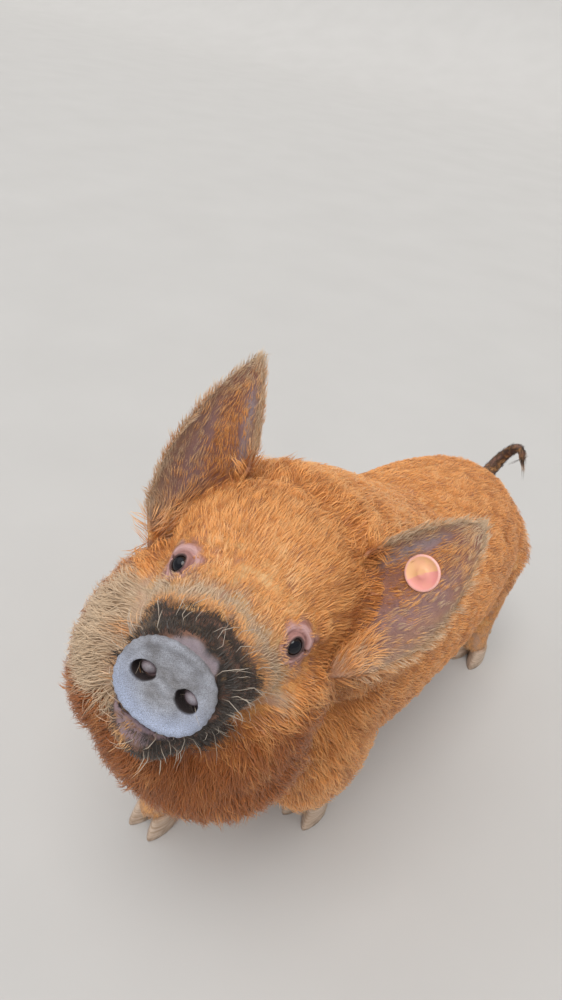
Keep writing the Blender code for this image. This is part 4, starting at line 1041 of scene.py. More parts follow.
    @staticmethod
    def snout_folds(points: np.ndarray) -> np.ndarray:
        """Return how far each point is pushed out by the wrinkles of the snout."""
        head = Head()
        x, y, z = head.disc_local(points)
        around = np.arctan2(z, x)
        reach = np.sqrt((x / head.disc_half_width) ** 2 + (z / head.disc_half_height) ** 2)
        near = (reach < 1.5) & (y < 0.060) & (y > -0.010)
        front = 1.0 - smooth_step(y, 0.003, 0.008)
        middle = np.exp(-((x / 0.013) ** 2) - ((z / 0.022) ** 2))
        push = -0.0006 * middle * front * np.sin(z * 800 + 1.4 * np.sin(x * 380))
        push -= Skin.ridge(reach, 0.80, 0.06, 0.0005) * front
        high = smooth_step(z, -0.006, 0.014) * (reach < 1.35)
        push += Skin.ridge(y, 0.0215, 0.0058, 0.0030) * high - Skin.ridge(y, 0.0120, 0.0026, 0.0024) * high
        side_wave = (0.6 + 0.4 * np.sin(around * 3 + 1.0)) * (1.0 - high)
        for wrinkle in ((0.019, 0.0034, 0.0014), (0.0255, 0.0022, -0.0012), (0.033, 0.0035, 0.0009)):
            push += Skin.ridge(y, *wrinkle) * side_wave
        rim = Skin.ridge(y, 0.004, 0.003, 0.0004) * (reach > 0.9)
        push += rim * np.sin(around * 34 + 2 * np.sin(around * 5))
        return push * near

    def thin_out(self, obj: Object) -> None:
        """Bring the mesh under its number of triangles, finest on the face."""
        points = points_of(obj)
        local = HEAD.local(points)
        face = 1.0 - smooth_step(local[:, 1], 0.030, 0.070)
        face *= smooth_step(local[:, 2], -0.150, -0.110)
        for side in Side:
            lids = np.linalg.norm(Lids(side).local(points), axis=1)
            face = np.maximum(face, 1.3 * (1.0 - smooth_step(lids, 0.028, 0.036)))
        snout = 1.0 - smooth_step(local[:, 1], -0.100, -0.090)
        weights = 1.0 - 0.72 * np.clip(face, 0, 1) - 0.22 * np.maximum(np.clip(face - 1, 0, 0.3) / 0.3, snout)
        group = obj.vertex_groups.new(name="thin")
        steps = np.round(weights * 20).astype(int)
        for step in np.unique(steps):
            group.add(np.nonzero(steps == step)[0].tolist(), float(step) / 20, "REPLACE")
        count = sum(len(face.vertices) - 2 for face in obj.data.polygons)
        sparser = obj.modifiers.new("thinner", "DECIMATE")
        sparser.ratio = min(self.triangles / count, 1.0)
        sparser.vertex_group = "thin"
        sparser.vertex_group_factor = 1.0
        settle(obj)
        obj.vertex_groups.clear()

    def describe(self, obj: Object) -> None:
        """Store the lie, length and colour of the hair, and the bare places, on the mesh."""
        mesh = obj.data
        points = points_of(obj)
        values = self.blended(points)
        snout = self.snout_mask(points)
        ring = self.mark_muzzle(points, values, snout)
        masks = {"snout": snout, "deep": self.nostril_shade(points), "flesh": np.zeros(len(points)),
                 "bare": np.zeros(len(points)), "inner": np.zeros(len(points)), "band": np.zeros(len(points))}
        self.mark_mouth(points, masks)
        for side in Side:
            lids = Lids(side)
            local = lids.local(points)
            masks["bare"] = np.maximum(masks["bare"], lids.patch(local))
            # Dark rim round each eye's slit: partly the dark lashes, partly painted shade under the lids.
            front = (np.linalg.norm(local, axis=1) < 0.024) & (local[:, 1] < 0.0)
            edge = 1.0 - smooth_step(lids.beyond(local), 0.0009, 0.0030)
            masks["deep"] = np.maximum(masks["deep"], 0.85 * edge * front)
        # Painted light on the lid folds: 0 in the grooves for painted shade, 1 on the ridges for painted
        # highlight, 0.5 where flat.
        masks["crease"] = np.clip(0.5 + self.lid_folds(points) / 0.0044, 0, 1)
        self.part_round_eyes(points, values)
        self.ear_values(points, values, masks)
        chin = masks["flesh"] * (1.0 - snout)
        values["density"] *= (1.0 - snout) * (1.0 - 0.92 * masks["bare"]) * (1.0 - 0.55 * chin)
        values["length"] *= (1.0 - 0.5 * masks["bare"]) * (1.0 - 0.3 * chin)
        masks["whisker"] = np.clip(ring + chin, 0, 1) * (1.0 - snout)
        # Painted sheen of reflected light on the edges of the disc.
        masks["glow"] = self.disc_painted_sheen(points) * snout
        self.tail_values(points, values)
        for name, value in {**values, **masks}.items():
            put_value(mesh, name, value)
        self.mark_regions(mesh, points, values)

    @staticmethod
    def part_round_eyes(points: np.ndarray, values: dict[str, np.ndarray]) -> None:
        """Turn the hair that points at an eye to run past it, and shorten it there."""
        for side in Side:
            lids = Lids(side)
            local = lids.local(points)
            near = 1.0 - smooth_step(lids.beyond(local), 0.004, 0.020)
            near *= np.linalg.norm(local, axis=1) < 0.045
            out = points - np.array(lids.centre())
            out /= np.linalg.norm(out, axis=1, keepdims=True)
            inward = np.minimum((values["lie"] * out).sum(axis=1), 0.0)
            values["lie"] -= out * (inward * near)[:, None]
            values["length"] *= 1.0 - 0.42 * near

    @staticmethod
    def mark_muzzle(points: np.ndarray, values: dict[str, np.ndarray], snout: np.ndarray) -> np.ndarray:
        """Colour the dark ring of the muzzle and the cream band behind it.

        Args:
            points: the corners of the skin.
            values: the hair's values at the points, changed here.
            snout: 1 on the bare disc.

        Returns:
            1 on the dark ring and 0 elsewhere.
        """
        x, y, z = HEAD.local(points).T
        low = smooth_step(-z, 0.095, 0.135)
        round_it = np.degrees(np.arctan2(np.abs(x), z + 0.033))
        edge = np.interp(round_it, (0, 47, 75, 100, 120, 140, 155, 180),
                         (-0.055, -0.062, -0.047, -0.031, -0.032, -0.038, -0.046, -0.056))
        right_side = smooth_step(round_it, 60.0, 92.0) * (x < 0)
        edge += 0.004 * right_side * (1.0 - smooth_step(round_it, 110.0, 140.0))
        wobble = 0.002 * np.sin(x * 190 + 1.0) + 0.002 * np.sin(z * 240)
        behind = y - edge - wobble
        front = smooth_step(z, -0.150, -0.120)
        ring = (1.0 - smooth_step(behind, -0.014, 0.012)) * front
        cream = smooth_step(-x, -0.002, 0.024) * low
        values["dark"] = np.maximum(values["dark"], ring * (0.95 - 0.40 * cream) * (1.0 - 0.32 * right_side))
        left_low = smooth_step(round_it, 92.0, 118.0) * (x > 0)
        wide = 0.012 + 0.010 * right_side
        band = np.exp(-(((behind - 0.018) / wide) ** 2)) * (0.80 + 0.15 * right_side) * front * (y < 0.02)
        band *= 1.0 - left_low
        values["pale"] = np.maximum(values["pale"], np.maximum(band, cream * (y < 0.0) * front * 0.62))
        return ring * (1.0 - snout)

    @staticmethod
    def disc_painted_sheen(points: np.ndarray) -> np.ndarray:
        """Return the painted sheen of reflected light on the snout's disc: 1 at its lower and side edges, 0 in
        the middle.
        """
        head = Head()
        x, y, z = head.disc_local(points)
        reach = np.hypot(x / head.disc_half_width, z / head.disc_half_height)
        below = smooth_step(-z / head.disc_half_height, -0.55, 0.75)
        return np.clip(smooth_step(reach, 0.30, 0.88) * (0.08 + 0.92 * below), 0, 1) * (y < 0.008)

    @staticmethod
    def nostril_shade(points: np.ndarray) -> np.ndarray:
        """Return the painted shade inside the nostrils: 1 deep inside them and 0 outside them."""
        head = Head()
        x, y, z = head.disc_local(points)
        deep = np.zeros(len(points))
        for side in Side:
            middle = head.nostril_middle(side)
            flap = head.flap_middle(side)
            inside = np.hypot(x - middle.x, z - middle.z) < 0.0165
            dark = smooth_step(y, 0.0022, 0.0055) * inside * (y < 0.020)
            away = np.sqrt((x - flap.x) ** 2 + ((y - flap.y) * 0.6) ** 2 + (z - flap.z) ** 2)
            on_flap = 1.0 - smooth_step(away, 0.0074, 0.0088)
            deep = np.maximum(deep, dark * (1.0 - 0.85 * on_flap))
        return deep

    def mark_mouth(self, points: np.ndarray, masks: dict[str, np.ndarray]) -> None:
        """Mark the fleshy lip, chin, nostril flaps and snout fold, and the painted shade along the line of the
        mouth.
        """
        head = Head()
        line = np.array(self.mouth)
        away = np.full(len(points), 1.0)
        x, y, z = HEAD.local(points).T
        near = np.nonzero((y < 0.0) & (z < -0.04))[0]
        away[near] = np.linalg.norm(points[near, None, :] - line[None], axis=2).min(axis=1)
        # Painted shade along the carved line of the mouth.
        masks["deep"] = np.maximum(masks["deep"], 0.9 * (1.0 - smooth_step(away, 0.0016, 0.0034)))
        centre, radii = head.bare_chin
        shares = [(value - middle) / size for value, middle, size in zip((x, y, z), centre, radii)]
        reach = np.sqrt(sum(share**2 for share in shares))
        chin = 0.9 * (1.0 - smooth_step(reach, 0.65, 1.10))
        lip = (1.0 - smooth_step(away, 0.004, 0.008)) * (y < -0.060)
        disc_x, disc_y, disc_z = head.disc_local(points)
        flesh = np.maximum(chin, lip)
        for side in Side:
            flap = head.flap_middle(side)
            far = np.sqrt((disc_x - flap.x) ** 2 + (disc_y - flap.y) ** 2 + (disc_z - flap.z) ** 2)
            flesh = np.maximum(flesh, 0.8 * (1.0 - smooth_step(far, 0.0078, 0.0098)))
        fold = smooth_step(disc_y, 0.011, 0.015) * masks["snout"]
        masks["flesh"] = np.maximum(flesh, 0.60 * fold)

    @staticmethod
    def blended(points: np.ndarray) -> dict[str, np.ndarray]:
        """Blend the values of all anchors at each point.

        Args:
            points: the corners of the skin.

        Returns:
            Arrays by name: lie, length, lift, dark, pale, rust (with painted shade under the head) and density.
        """
        places = []
        rows = []
        for anchor in HEAD_HAIR + BODY_HAIR:
            for side in (1, -1) if anchor.place[0] else (1,):
                if anchor.head:
                    place = HEAD.place(anchor.place, side)
                    lie = HEAD.way(anchor.lie, side)
                else:
                    place = mirrored(anchor.place, side)
                    lie = mirrored(anchor.lie, side).normalized()
                places.append((*place, anchor.reach))
                rows.append((*lie, *(getattr(anchor, name) for name in HAIR_VALUES)))
        for foot in Foot:
            leg = Leg(foot)
            heights = [ring[0][2] for ring in leg.stations()][::-1]
            for height, backward, length, pale, density in LEG_HAIR:
                x = np.interp(height, heights, [ring[0][0] for ring in leg.stations()][::-1])
                y = np.interp(height, heights, [ring[0][1] for ring in leg.stations()][::-1])
                lie = Vector((0, backward, -1)).normalized()
                places.append((x, y, height, 0.030))
                rows.append((*lie, length, 0.8, 0.0, pale, 0.0, density))
        places = np.array(places)
        rows = np.array(rows)
        away = np.linalg.norm(points[:, None, :] - places[None, :, :3], axis=2) / places[None, :, 3]
        away = away**2
        weight = np.exp(np.maximum(away.min(axis=1, keepdims=True) - away, -40.0))
        blend = (weight @ rows) / weight.sum(axis=1, keepdims=True)
        values = {name: blend[:, 3 + index].copy() for index, name in enumerate(HAIR_VALUES)}
        values["lie"] = blend[:, :3]
        return values

    @staticmethod
    def snout_mask(points: np.ndarray) -> np.ndarray:
        """Return 1 on the bare disc of the snout and 0 elsewhere."""
        head = Head()
        x, y, z = head.disc_local(points)
        reach = np.sqrt((x / head.disc_half_width) ** 2 + (z / head.disc_half_height) ** 2)
        top = smooth_step(z, 0.008, 0.020) * (1.0 - smooth_step(np.abs(x - 0.004), 0.016, 0.028))
        edge = 0.0070 + 0.0012 * np.sin(np.arctan2(z, x) * 9) + 0.0100 * top
        return (1.0 - smooth_step(y - edge, -0.002, 0.0025)) * (reach < 1.35)

    @staticmethod
    def ear_values(points: np.ndarray, values: dict[str, np.ndarray], masks: dict[str, np.ndarray]) -> None:
        """Lay the hair of both ears and mark their hollows and the bare band along the inner margin."""
        for side in Side:
            ear = Ear(side)
            samples = ear.grid()
            tree = search_tree([sample[0] for sample in samples])
            middle = np.array(HEAD.place(ear.sheet(0.5, 0.5)))
            for index in np.nonzero(np.linalg.norm(points - middle, axis=1) < ear.hair_reach)[0]:
                _, found, distance = tree.find(points[index])
                if distance > ear.hair_touch:
                    continue
                _, along, across, face = samples[found]
                close = (1.0 - distance / ear.hair_touch) ** 0.3
                share = float(smooth_step(np.array(along), 0.02, 0.16)) * close
                way = ear.sheet(along + 0.03, across) - ear.sheet(along - 0.03, across)
                wide = ear.sheet(along, min(across + 0.04, 1.0)) - ear.sheet(along, max(across - 0.04, 0.0))
                edge = abs(2 * across - 1) ** 4
                margin = abs(2 * across - 1) ** 2
                flow = way.normalized() + wide.normalized() * (edge * math.copysign(1.1, across - 0.5))
                flow = HEAD.matrix().to_3x3() @ flow.normalized()
                values["lie"][index] += (np.array(flow) - values["lie"][index]) * share
                hollow = (1.0 - edge) * (face > 0)
                length = 0.0085 + 0.0040 * edge + 0.0045 * hollow
                values["length"][index] += (length - values["length"][index]) * share
                values["lift"][index] += (0.75 - values["lift"][index]) * share
                fade = 1.0 - float(smooth_step(np.array(along), 0.60, 0.85))
                band = math.exp(-(((across - 0.16) / 0.090) ** 2)) * fade * (face > 0)
                thin = float(smooth_step(np.array(across), 0.52, 0.70)) * fade * (face > 0)
                masks["inner"][index] = share * (1.0 - 0.75 * edge) * (face > 0)
                masks["band"][index] = share * max(band, 0.35 * thin)
                values["density"][index] *= 1.0 - share * min(0.25 * hollow + 0.80 * band + 0.48 * thin, 0.92)
                # Painted shade: darker hair deeper in the hollow of the ear, towards its base.
                values["dark"][index] = max(values["dark"][index], 0.42 * share * hollow * (1.0 - along) ** 2)
                values["rust"][index] += (0.25 * hollow - values["rust"][index]) * share
                pale = max(margin * (0.92 if face > 0 else 0.60), along**2 * 0.95, 0.55 * thin, 0.55 * band)
                values["pale"][index] += (pale - values["pale"][index]) * share
                # Painted shade in the pit at the base of the ear's hollow.
                painted_pit_shade = hollow * (1.0 - float(smooth_step(np.array(along), 0.04, 0.16)))
                masks["deep"][index] = max(masks["deep"][index], 0.55 * share * painted_pit_shade)

    @staticmethod
    def tail_values(points: np.ndarray, values: dict[str, np.ndarray]) -> None:
        """Lay the thin dark hair of the tail."""
        path = Tail().path()
        places = np.array([place for place, _ in path])
        radii = np.array([radius for _, radius in path])
        away = np.linalg.norm(points[:, None, :] - places[None], axis=2) - radii[None]
        nearest = away.argmin(axis=1)
        share = 1.0 - smooth_step(away.min(axis=1), 0.002, 0.012)
        share *= smooth_step(nearest / (len(path) - 1), 0.08, 0.22)
        ways = np.gradient(places, axis=0)
        ways /= np.linalg.norm(ways, axis=1, keepdims=True)
        values["lie"] += (ways[nearest] - values["lie"]) * share[:, None]
        tip = smooth_step(nearest / (len(path) - 1), 0.75, 1.0)
        values["length"] += ((0.012 + 0.020 * tip) - values["length"]) * share
        values["dark"] = np.maximum(values["dark"], 0.75 * share)
        values["density"] *= 1.0 - 0.35 * share * (1.0 - tip)

    @staticmethod
    def mark_regions(mesh: Mesh, points: np.ndarray, values: dict[str, np.ndarray]) -> None:
        """Store on each face the coat piece that grows there."""
        count = len(mesh.polygons)
        middles = np.empty(count * 3, dtype=np.float32)
        mesh.polygons.foreach_get("center", middles)
        middles = middles.reshape(-1, 3).astype(np.float64)
        corners = np.empty(len(mesh.loops), dtype=np.int32)
        mesh.loops.foreach_get("vertex_index", corners)
        starts = np.empty(count, dtype=np.int32)
        mesh.polygons.foreach_get("loop_start", starts)
        first = corners[starts]
        local = HEAD.local(middles)
        region = np.full(count, Region.TRUNK_MIDDLE.value)
        region[middles[:, 1] < -0.060] = Region.TRUNK_FRONT.value
        region[middles[:, 1] > 0.150] = Region.TRUNK_BACK.value
        neck_way = np.array((0.0, -0.70, 0.72))
        neck = middles @ neck_way > np.dot((0.0, -0.125, 0.500), neck_way) - 0.03
        region[neck & (middles[:, 0] >= 0)] = Region.NECK_LEFT.value
        region[neck & (middles[:, 0] < 0)] = Region.NECK_RIGHT.value
        poll, throat = np.array((0.125, 0.070)), np.array((0.112, -0.150))
        rise = poll - throat
        edge = (local[:, 1] - throat[0]) * rise[1] - (local[:, 2] - throat[1]) * rise[0]
        ahead = (edge < 0) & (middles[:, 1] < -0.20) & (middles[:, 2] > 0.30)
        long = values["length"][first] > 0.0235
        region[ahead & long & (local[:, 0] >= 0)] = Region.CHEEK_LEFT.value
        region[ahead & long & (local[:, 0] < 0)] = Region.CHEEK_RIGHT.value
        region[ahead & ~long] = Region.FACE.value
        for side, mark in ((Side.LEFT, Region.EAR_LEFT), (Side.RIGHT, Region.EAR_RIGHT)):
            ear = Ear(side)
            places = np.array([sample[0] for sample in ear.grid() if sample[1] > 0.10])
            tree = search_tree(places)
            centre = places.mean(axis=0)
            for index in np.nonzero(np.linalg.norm(middles - centre, axis=1) < ear.coat_reach)[0]:
                if tree.find(middles[index])[2] < ear.coat_touch:
                    region[index] = mark.value
        for foot in Foot:
            foot_x, foot_y = foot.value
            inside = (np.abs(middles[:, 0] - foot_x) < 0.07) & (np.abs(middles[:, 1] - foot_y) < 0.08)
            region[inside & (middles[:, 2] < 0.165)] = Region.LEGS.value
        path = np.array([place for place, _ in Tail().path()])
        away = np.linalg.norm(middles[:, None] - path[None, 6:], axis=2).min(axis=1)
        region[away < 0.020] = Region.TAIL.value
        layer = mesh.attributes.new("region", "FLOAT", "FACE")
        layer.data.foreach_set("value", region.astype(np.float32))

    def dress(self, obj: Object) -> None:
        """Give the skin its material and body, and hide the solids that it takes the place of."""
        obj.data.materials.clear()
        obj.data.materials.append(Hide().material())
        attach(obj, "root")
        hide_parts(*self.replaced, *("leg_" + foot.word for foot in Foot))


class Nodes:
    """Short ways to add and link the nodes of one tree."""

    def __init__(self, tree: NodeTree) -> None:
        """Keep the tree that the nodes go into."""
        self.tree = tree

    def add(self, kind: str, inputs: Optional[dict] = None, **settings: object) -> Node:
        """Add one node.

        Args:
            kind: the node's type.
            inputs: values or sockets by the name or number of the input.
            settings: the node's own settings.

        Returns:
            The node.
        """
        node = self.tree.nodes.new(kind)
        for name, value in settings.items():
            setattr(node, name, value)
        for key, value in (inputs or {}).items():
            self.put(node, key, value)
        return node

    def put(self, node: Node, key: object, value: object) -> None:
        """Set or link one input of a node."""
        socket = node.inputs[key]
        if isinstance(value, NodeSocket):
            self.tree.links.new(value, socket)
        elif isinstance(value, tuple) and len(value) == 3 and socket.type == "RGBA":
            socket.default_value = (*value, 1.0)
        else:
            socket.default_value = value

    def attribute(self, name: str) -> NodeSocket:
        """Return a value stored on the mesh."""
        return self.add("ShaderNodeAttribute", attribute_name=name).outputs["Fac"]

    def vector(self, name: str) -> NodeSocket:
        """Return a vector stored on the mesh."""
        return self.add("ShaderNodeAttribute", attribute_name=name).outputs["Vector"]

    def math(self, operation: str, *values: object, clamp: bool = False) -> NodeSocket:
        """Return the result of one sum."""
        node = self.add("ShaderNodeMath", dict(enumerate(values)), operation=operation, use_clamp=clamp)
        return node.outputs[0]

    def aim(self, operation: str, *values: object) -> NodeSocket:
        """Return the result of one vector sum; a scale is given as the third value."""
        inputs = dict(enumerate(values))
        if operation == "SCALE":
            inputs = {0: values[0], "Scale": values[1]}
        node = self.add("ShaderNodeVectorMath", inputs, operation=operation)
        return node.outputs["Value" if operation == "DOT_PRODUCT" else "Vector"]

    def blend(self, share: object, low: object, high: object) -> NodeSocket:
        """Return a mix of two colours."""
        return self.add("ShaderNodeMix", {0: share, 6: low, 7: high}, data_type="RGBA").outputs[2]

    def range(self, value: object, low: float, high: float,
              out_low: float = 0.0, out_high: float = 1.0) -> NodeSocket:
        """Return a value moved from one range to another and kept inside it."""
        inputs = {"Value": value, "From Min": low, "From Max": high, "To Min": out_low, "To Max": out_high}
        return self.add("ShaderNodeMapRange", inputs).outputs["Result"]

    def place(self) -> NodeSocket:
        """Return the place in the object's own coordinates."""
        return self.add("ShaderNodeTexCoord").outputs["Object"]

    def noise(self, place: NodeSocket, scale: object, detail: float) -> NodeSocket:
        """Return soft noise at a place."""
        return self.add("ShaderNodeTexNoise", {"Vector": place, "Scale": scale, "Detail": detail}).outputs[0]

    def bump(self, shader: Node, height: NodeSocket, distance: float, strength: float) -> None:
        """Raise a shader's surface by a height."""
        raised = self.add("ShaderNodeBump", {"Height": height, "Distance": distance, "Strength": strength})
        self.put(shader, "Normal", raised.outputs[0])

    def group(self, tree: NodeTree, inputs: dict) -> Node:
        """Place a node group with its own values."""
        node = self.tree.nodes.new("ShaderNodeGroup")
        node.node_tree = tree
        for key, value in inputs.items():
            self.put(node, key, value)
        return node


def new_group(name: str, inputs: dict[str, float],
              outputs: Sequence[str]) -> tuple[NodeTree, Nodes, Node, Node]:
    """Start a shader node group of plain numbers.

    Args:
        name: the group's name.
        inputs: the value of each input, by its name.
        outputs: the name of each output.

    Returns:
        The group, its builder, its input node and its output node.
    """
    tree = bpy.data.node_groups.new(name, "ShaderNodeTree")
    for label, value in inputs.items():
        tree.interface.new_socket(label, in_out="INPUT", socket_type="NodeSocketFloat").default_value = value
    for label in outputs:
        tree.interface.new_socket(label, in_out="OUTPUT", socket_type="NodeSocketFloat")
    return tree, Nodes(tree), tree.nodes.new("NodeGroupInput"), tree.nodes.new("NodeGroupOutput")


def streak_group() -> NodeTree:
    """Return the group that draws hair-like streaks along the lie of the coat, made once."""
    name = "hair_streaks"
    if name in bpy.data.node_groups:
        return bpy.data.node_groups[name]
    tree, nodes, start, end = new_group(name, {"Scale": 900.0, "Stretch": 0.93}, ("Tone", "Height"))
    place = nodes.place()
    lie = nodes.vector("lie")
    along = nodes.math("MULTIPLY", nodes.aim("DOT_PRODUCT", place, lie), start.outputs["Stretch"])
    squeezed = nodes.aim("SUBTRACT", place, nodes.aim("SCALE", lie, along))
    fine = nodes.noise(squeezed, start.outputs["Scale"], 3.0)
    wide = nodes.noise(squeezed, nodes.math("MULTIPLY", start.outputs["Scale"], 0.22), 2.0)
    both = nodes.math("ADD", nodes.math("MULTIPLY", fine, 0.6), nodes.math("MULTIPLY", wide, 0.4))
    nodes.put(end, "Tone", nodes.range(both, 0.38, 0.62))
    nodes.put(end, "Height", both)
    return tree


def grain_group() -> NodeTree:
    """Return the group that draws pores and soft mottling, made once."""
    name = "pores_and_mottling"
    if name in bpy.data.node_groups:
        return bpy.data.node_groups[name]
    tree, nodes, start, end = new_group(name, {"Pores": 700.0, "Mottling": 60.0}, ("Mottle", "Height"))
    place = nodes.place()
    cells = nodes.add("ShaderNodeTexVoronoi", {"Vector": place, "Scale": start.outputs["Pores"]})
    soft = nodes.noise(place, start.outputs["Mottling"], 5.0)
    fine = nodes.noise(place, start.outputs["Pores"], 3.0)
    nodes.put(end, "Mottle", nodes.range(soft, 0.35, 0.65))
    height = nodes.math("ADD", nodes.math("MULTIPLY", cells.outputs["Distance"], 0.5), fine)
    nodes.put(end, "Height", height)
    return tree


def new_material(name: str, roughness: float, **settings: float) -> tuple[Material, Nodes, Node]:
    """Start a material.

    Args:
        name: the material's name.
        roughness: the shader's own roughness.
        settings: more of the shader's own values, with _ for each space of their names.

    Returns:
        The material, its builder and its shader.
    """
    material = bpy.data.materials.new(name)
    material.use_nodes = True
    nodes = Nodes(material.node_tree)
    shader = material.node_tree.nodes["Principled BSDF"]
    shader.inputs["Roughness"].default_value = roughness
    for key, value in settings.items():
        shader.inputs[key.replace("_", " ")].default_value = value
    return material, nodes, shader


@dataclass(frozen=True)
class HairTones:
    """The colours of the coat, from root to tip, that skin and tufts share."""

    root: Colour = (0.380, 0.125, 0.030)
    body: Colour = (0.840, 0.365, 0.100)
    tip: Colour = (0.960, 0.580, 0.250)
    gold: Colour = (0.920, 0.640, 0.330)
    # Deep rust: the coat's own rust, also used as painted shade under the head.
    rust: Colour = (0.330, 0.090, 0.016)
    dark_root: Colour = (0.022, 0.016, 0.013)
    dark_tip: Colour = (0.064, 0.048, 0.038)
    pale_root: Colour = (0.420, 0.280, 0.170)
    pale_tip: Colour = (0.800, 0.620, 0.430)

    def colour(self, nodes: Nodes, along: object, tint: object) -> NodeSocket:
        """Return the colour of a hair.

        Args:
            nodes: the material's builder.
            along: 0 at the root and 1 at the tip.
            tint: a value from 0 to 1 that differs from tuft to tuft.

        Returns:
            The colour.
        """
        ginger = nodes.blend(nodes.range(along, 0.0, 0.45), self.root, self.body)
        ginger = nodes.blend(nodes.range(along, 0.45, 1.0), ginger, self.tip)
        # A high rust value is partly painted shade under the head.
        warm = nodes.math("ADD", tint, nodes.math("MULTIPLY", nodes.attribute("rust"), 0.60))
        ginger = nodes.blend(nodes.range(warm, 0.50, 1.20, 0.0, 0.92), ginger, self.rust)
        ginger = nodes.blend(nodes.range(warm, -0.1, 0.35, 0.60, 0.0), ginger, self.gold)
        dark = nodes.blend(along, self.dark_root, self.dark_tip)
        pale = nodes.blend(along, self.pale_root, self.pale_tip)
        pale_share = nodes.math("ADD", nodes.attribute("pale"), nodes.range(tint, 0.0, 1.0, -0.25, 0.25))
        dark_share = nodes.math("ADD", nodes.attribute("dark"), nodes.range(tint, 0.0, 1.0, -0.30, 0.30))
        mixed = nodes.blend(nodes.range(pale_share, 0.25, 0.75), ginger, pale)
        return nodes.blend(nodes.range(dark_share, 0.35, 0.75), mixed, dark)


@dataclass(frozen=True)
class Hide:
    """Skin: hair-covered hide, slate snout, bare lids and the mauve hollow of the ears."""

    tones: HairTones = HairTones()
    pink: Colour = (0.600, 0.290, 0.190)
    slate: Colour = (0.225, 0.220, 0.230)
    slate_pale: Colour = (0.440, 0.455, 0.510)
    # Painted sheen: the pale blue of reflected light on the disc's edges.
    painted_sheen_blue: Colour = (0.500, 0.580, 0.790)
    slate_dark: Colour = (0.085, 0.070, 0.060)
    lid: Colour = (0.520, 0.270, 0.235)
    # Painted highlight on the ridges of the lid folds.
    lid_painted_highlight: Colour = (0.740, 0.470, 0.450)
    lid_deep: Colour = (0.270, 0.120, 0.115)
    # Painted shade in the grooves of the lid folds.
    lid_painted_shade: Colour = (0.085, 0.036, 0.032)
    mauve: Colour = (0.420, 0.210, 0.190)
    lavender: Colour = (0.440, 0.370, 0.430)
    flesh: Colour = (0.290, 0.215, 0.260)
    rosy: Colour = (0.410, 0.270, 0.270)
    # Painted shade for the nostrils, the mouth line, the lid slits and the ear's pit.
    painted_pit_shade: Colour = (0.020, 0.011, 0.011)

    def material(self) -> Material:
        """Return the material of the skin."""
        material, nodes, shader = new_material("ginger_hide", 0.62)
        streaks = nodes.group(streak_group(), {"Scale": 1100.0, "Stretch": 0.94}).outputs
        grain = nodes.group(grain_group(), {"Pores": 1500.0, "Mottling": 70.0}).outputs
        hair = self.tones.colour(nodes, nodes.range(streaks["Tone"], 0.0, 1.0, 0.05, 0.62), grain["Mottle"])
        showing = nodes.math("MULTIPLY", nodes.range(grain["Mottle"], 0.3, 1.0), 0.5)
        hide = nodes.blend(showing, hair, self.pink)
        slate = nodes.blend(grain["Mottle"], self.slate, self.slate_pale)
        # Painted sheen of reflected light on the disc's lower and side edges.
        slate = nodes.blend(nodes.math("MULTIPLY", nodes.attribute("glow"), 0.85), slate, self.painted_sheen_blue)
        deep = nodes.range(grain["Height"], 0.60, 0.95, 0.0, 0.50)
        slate = nodes.blend(deep, slate, self.slate_dark)
        lid = nodes.blend(nodes.range(grain["Mottle"], 0.0, 1.0, 0.0, 0.55), self.lid, self.lid_deep)
        # Painted highlight on the ridges and painted shade in the grooves of the lid folds.
        lid = nodes.blend(nodes.range(nodes.attribute("crease"), 0.55, 1.0, 0.0, 0.70), lid, self.lid_painted_highlight)
        lid = nodes.blend(nodes.range(nodes.attribute("crease"), 0.10, 0.45, 0.75, 0.0), lid, self.lid_painted_shade)
        flesh = nodes.blend(grain["Mottle"], self.flesh, self.rosy)
        hollow = nodes.blend(nodes.range(grain["Mottle"], 0.0, 1.0, 0.0, 0.4), self.mauve, self.tones.rust)
        hollow = nodes.blend(nodes.attribute("band"), hollow, self.lavender)
        fine = nodes.range(streaks["Tone"], 0.5, 1.0, 0.0, 0.7)
        fine = nodes.math("SUBTRACT", fine, nodes.attribute("band"), clamp=True)
        hollow = nodes.blend(fine, hollow, self.tones.body)
        colour = nodes.blend(nodes.attribute("inner"), hide, hollow)
        colour = nodes.blend(nodes.attribute("bare"), colour, lid)
        colour = nodes.blend(nodes.attribute("snout"), colour, slate)
        colour = nodes.blend(nodes.attribute("flesh"), colour, flesh)
        # Painted shade from the deep value: in the nostrils, along the mouth, round the lid slits and in the
        # ear's pit.
        colour = nodes.blend(nodes.attribute("deep"), colour, self.painted_pit_shade)
        nodes.put(shader, "Base Color", colour)
        rough = nodes.math("SUBTRACT", 0.66, nodes.math("MULTIPLY", nodes.attribute("snout"), 0.24))
        rough = nodes.math("SUBTRACT", rough, nodes.math("MULTIPLY", nodes.attribute("bare"), 0.14))
        nodes.put(shader, "Roughness", rough)
        naked = nodes.math("MAXIMUM", nodes.attribute("snout"), nodes.attribute("bare"))
        naked = nodes.math("MAXIMUM", naked, nodes.attribute("flesh"))
        combed = nodes.math("MULTIPLY", streaks["Height"], nodes.math("SUBTRACT", 1.0, naked))
        lump = nodes.add("ShaderNodeBump", {"Height": combed, "Distance": 0.0022, "Strength": 0.9})
        pores = nodes.add("ShaderNodeBump", {
            "Height": grain["Height"], "Distance": 0.0010, "Strength": 0.9, "Normal": lump.outputs[0]})
        nodes.put(shader, "Normal", pores.outputs[0])
        return material


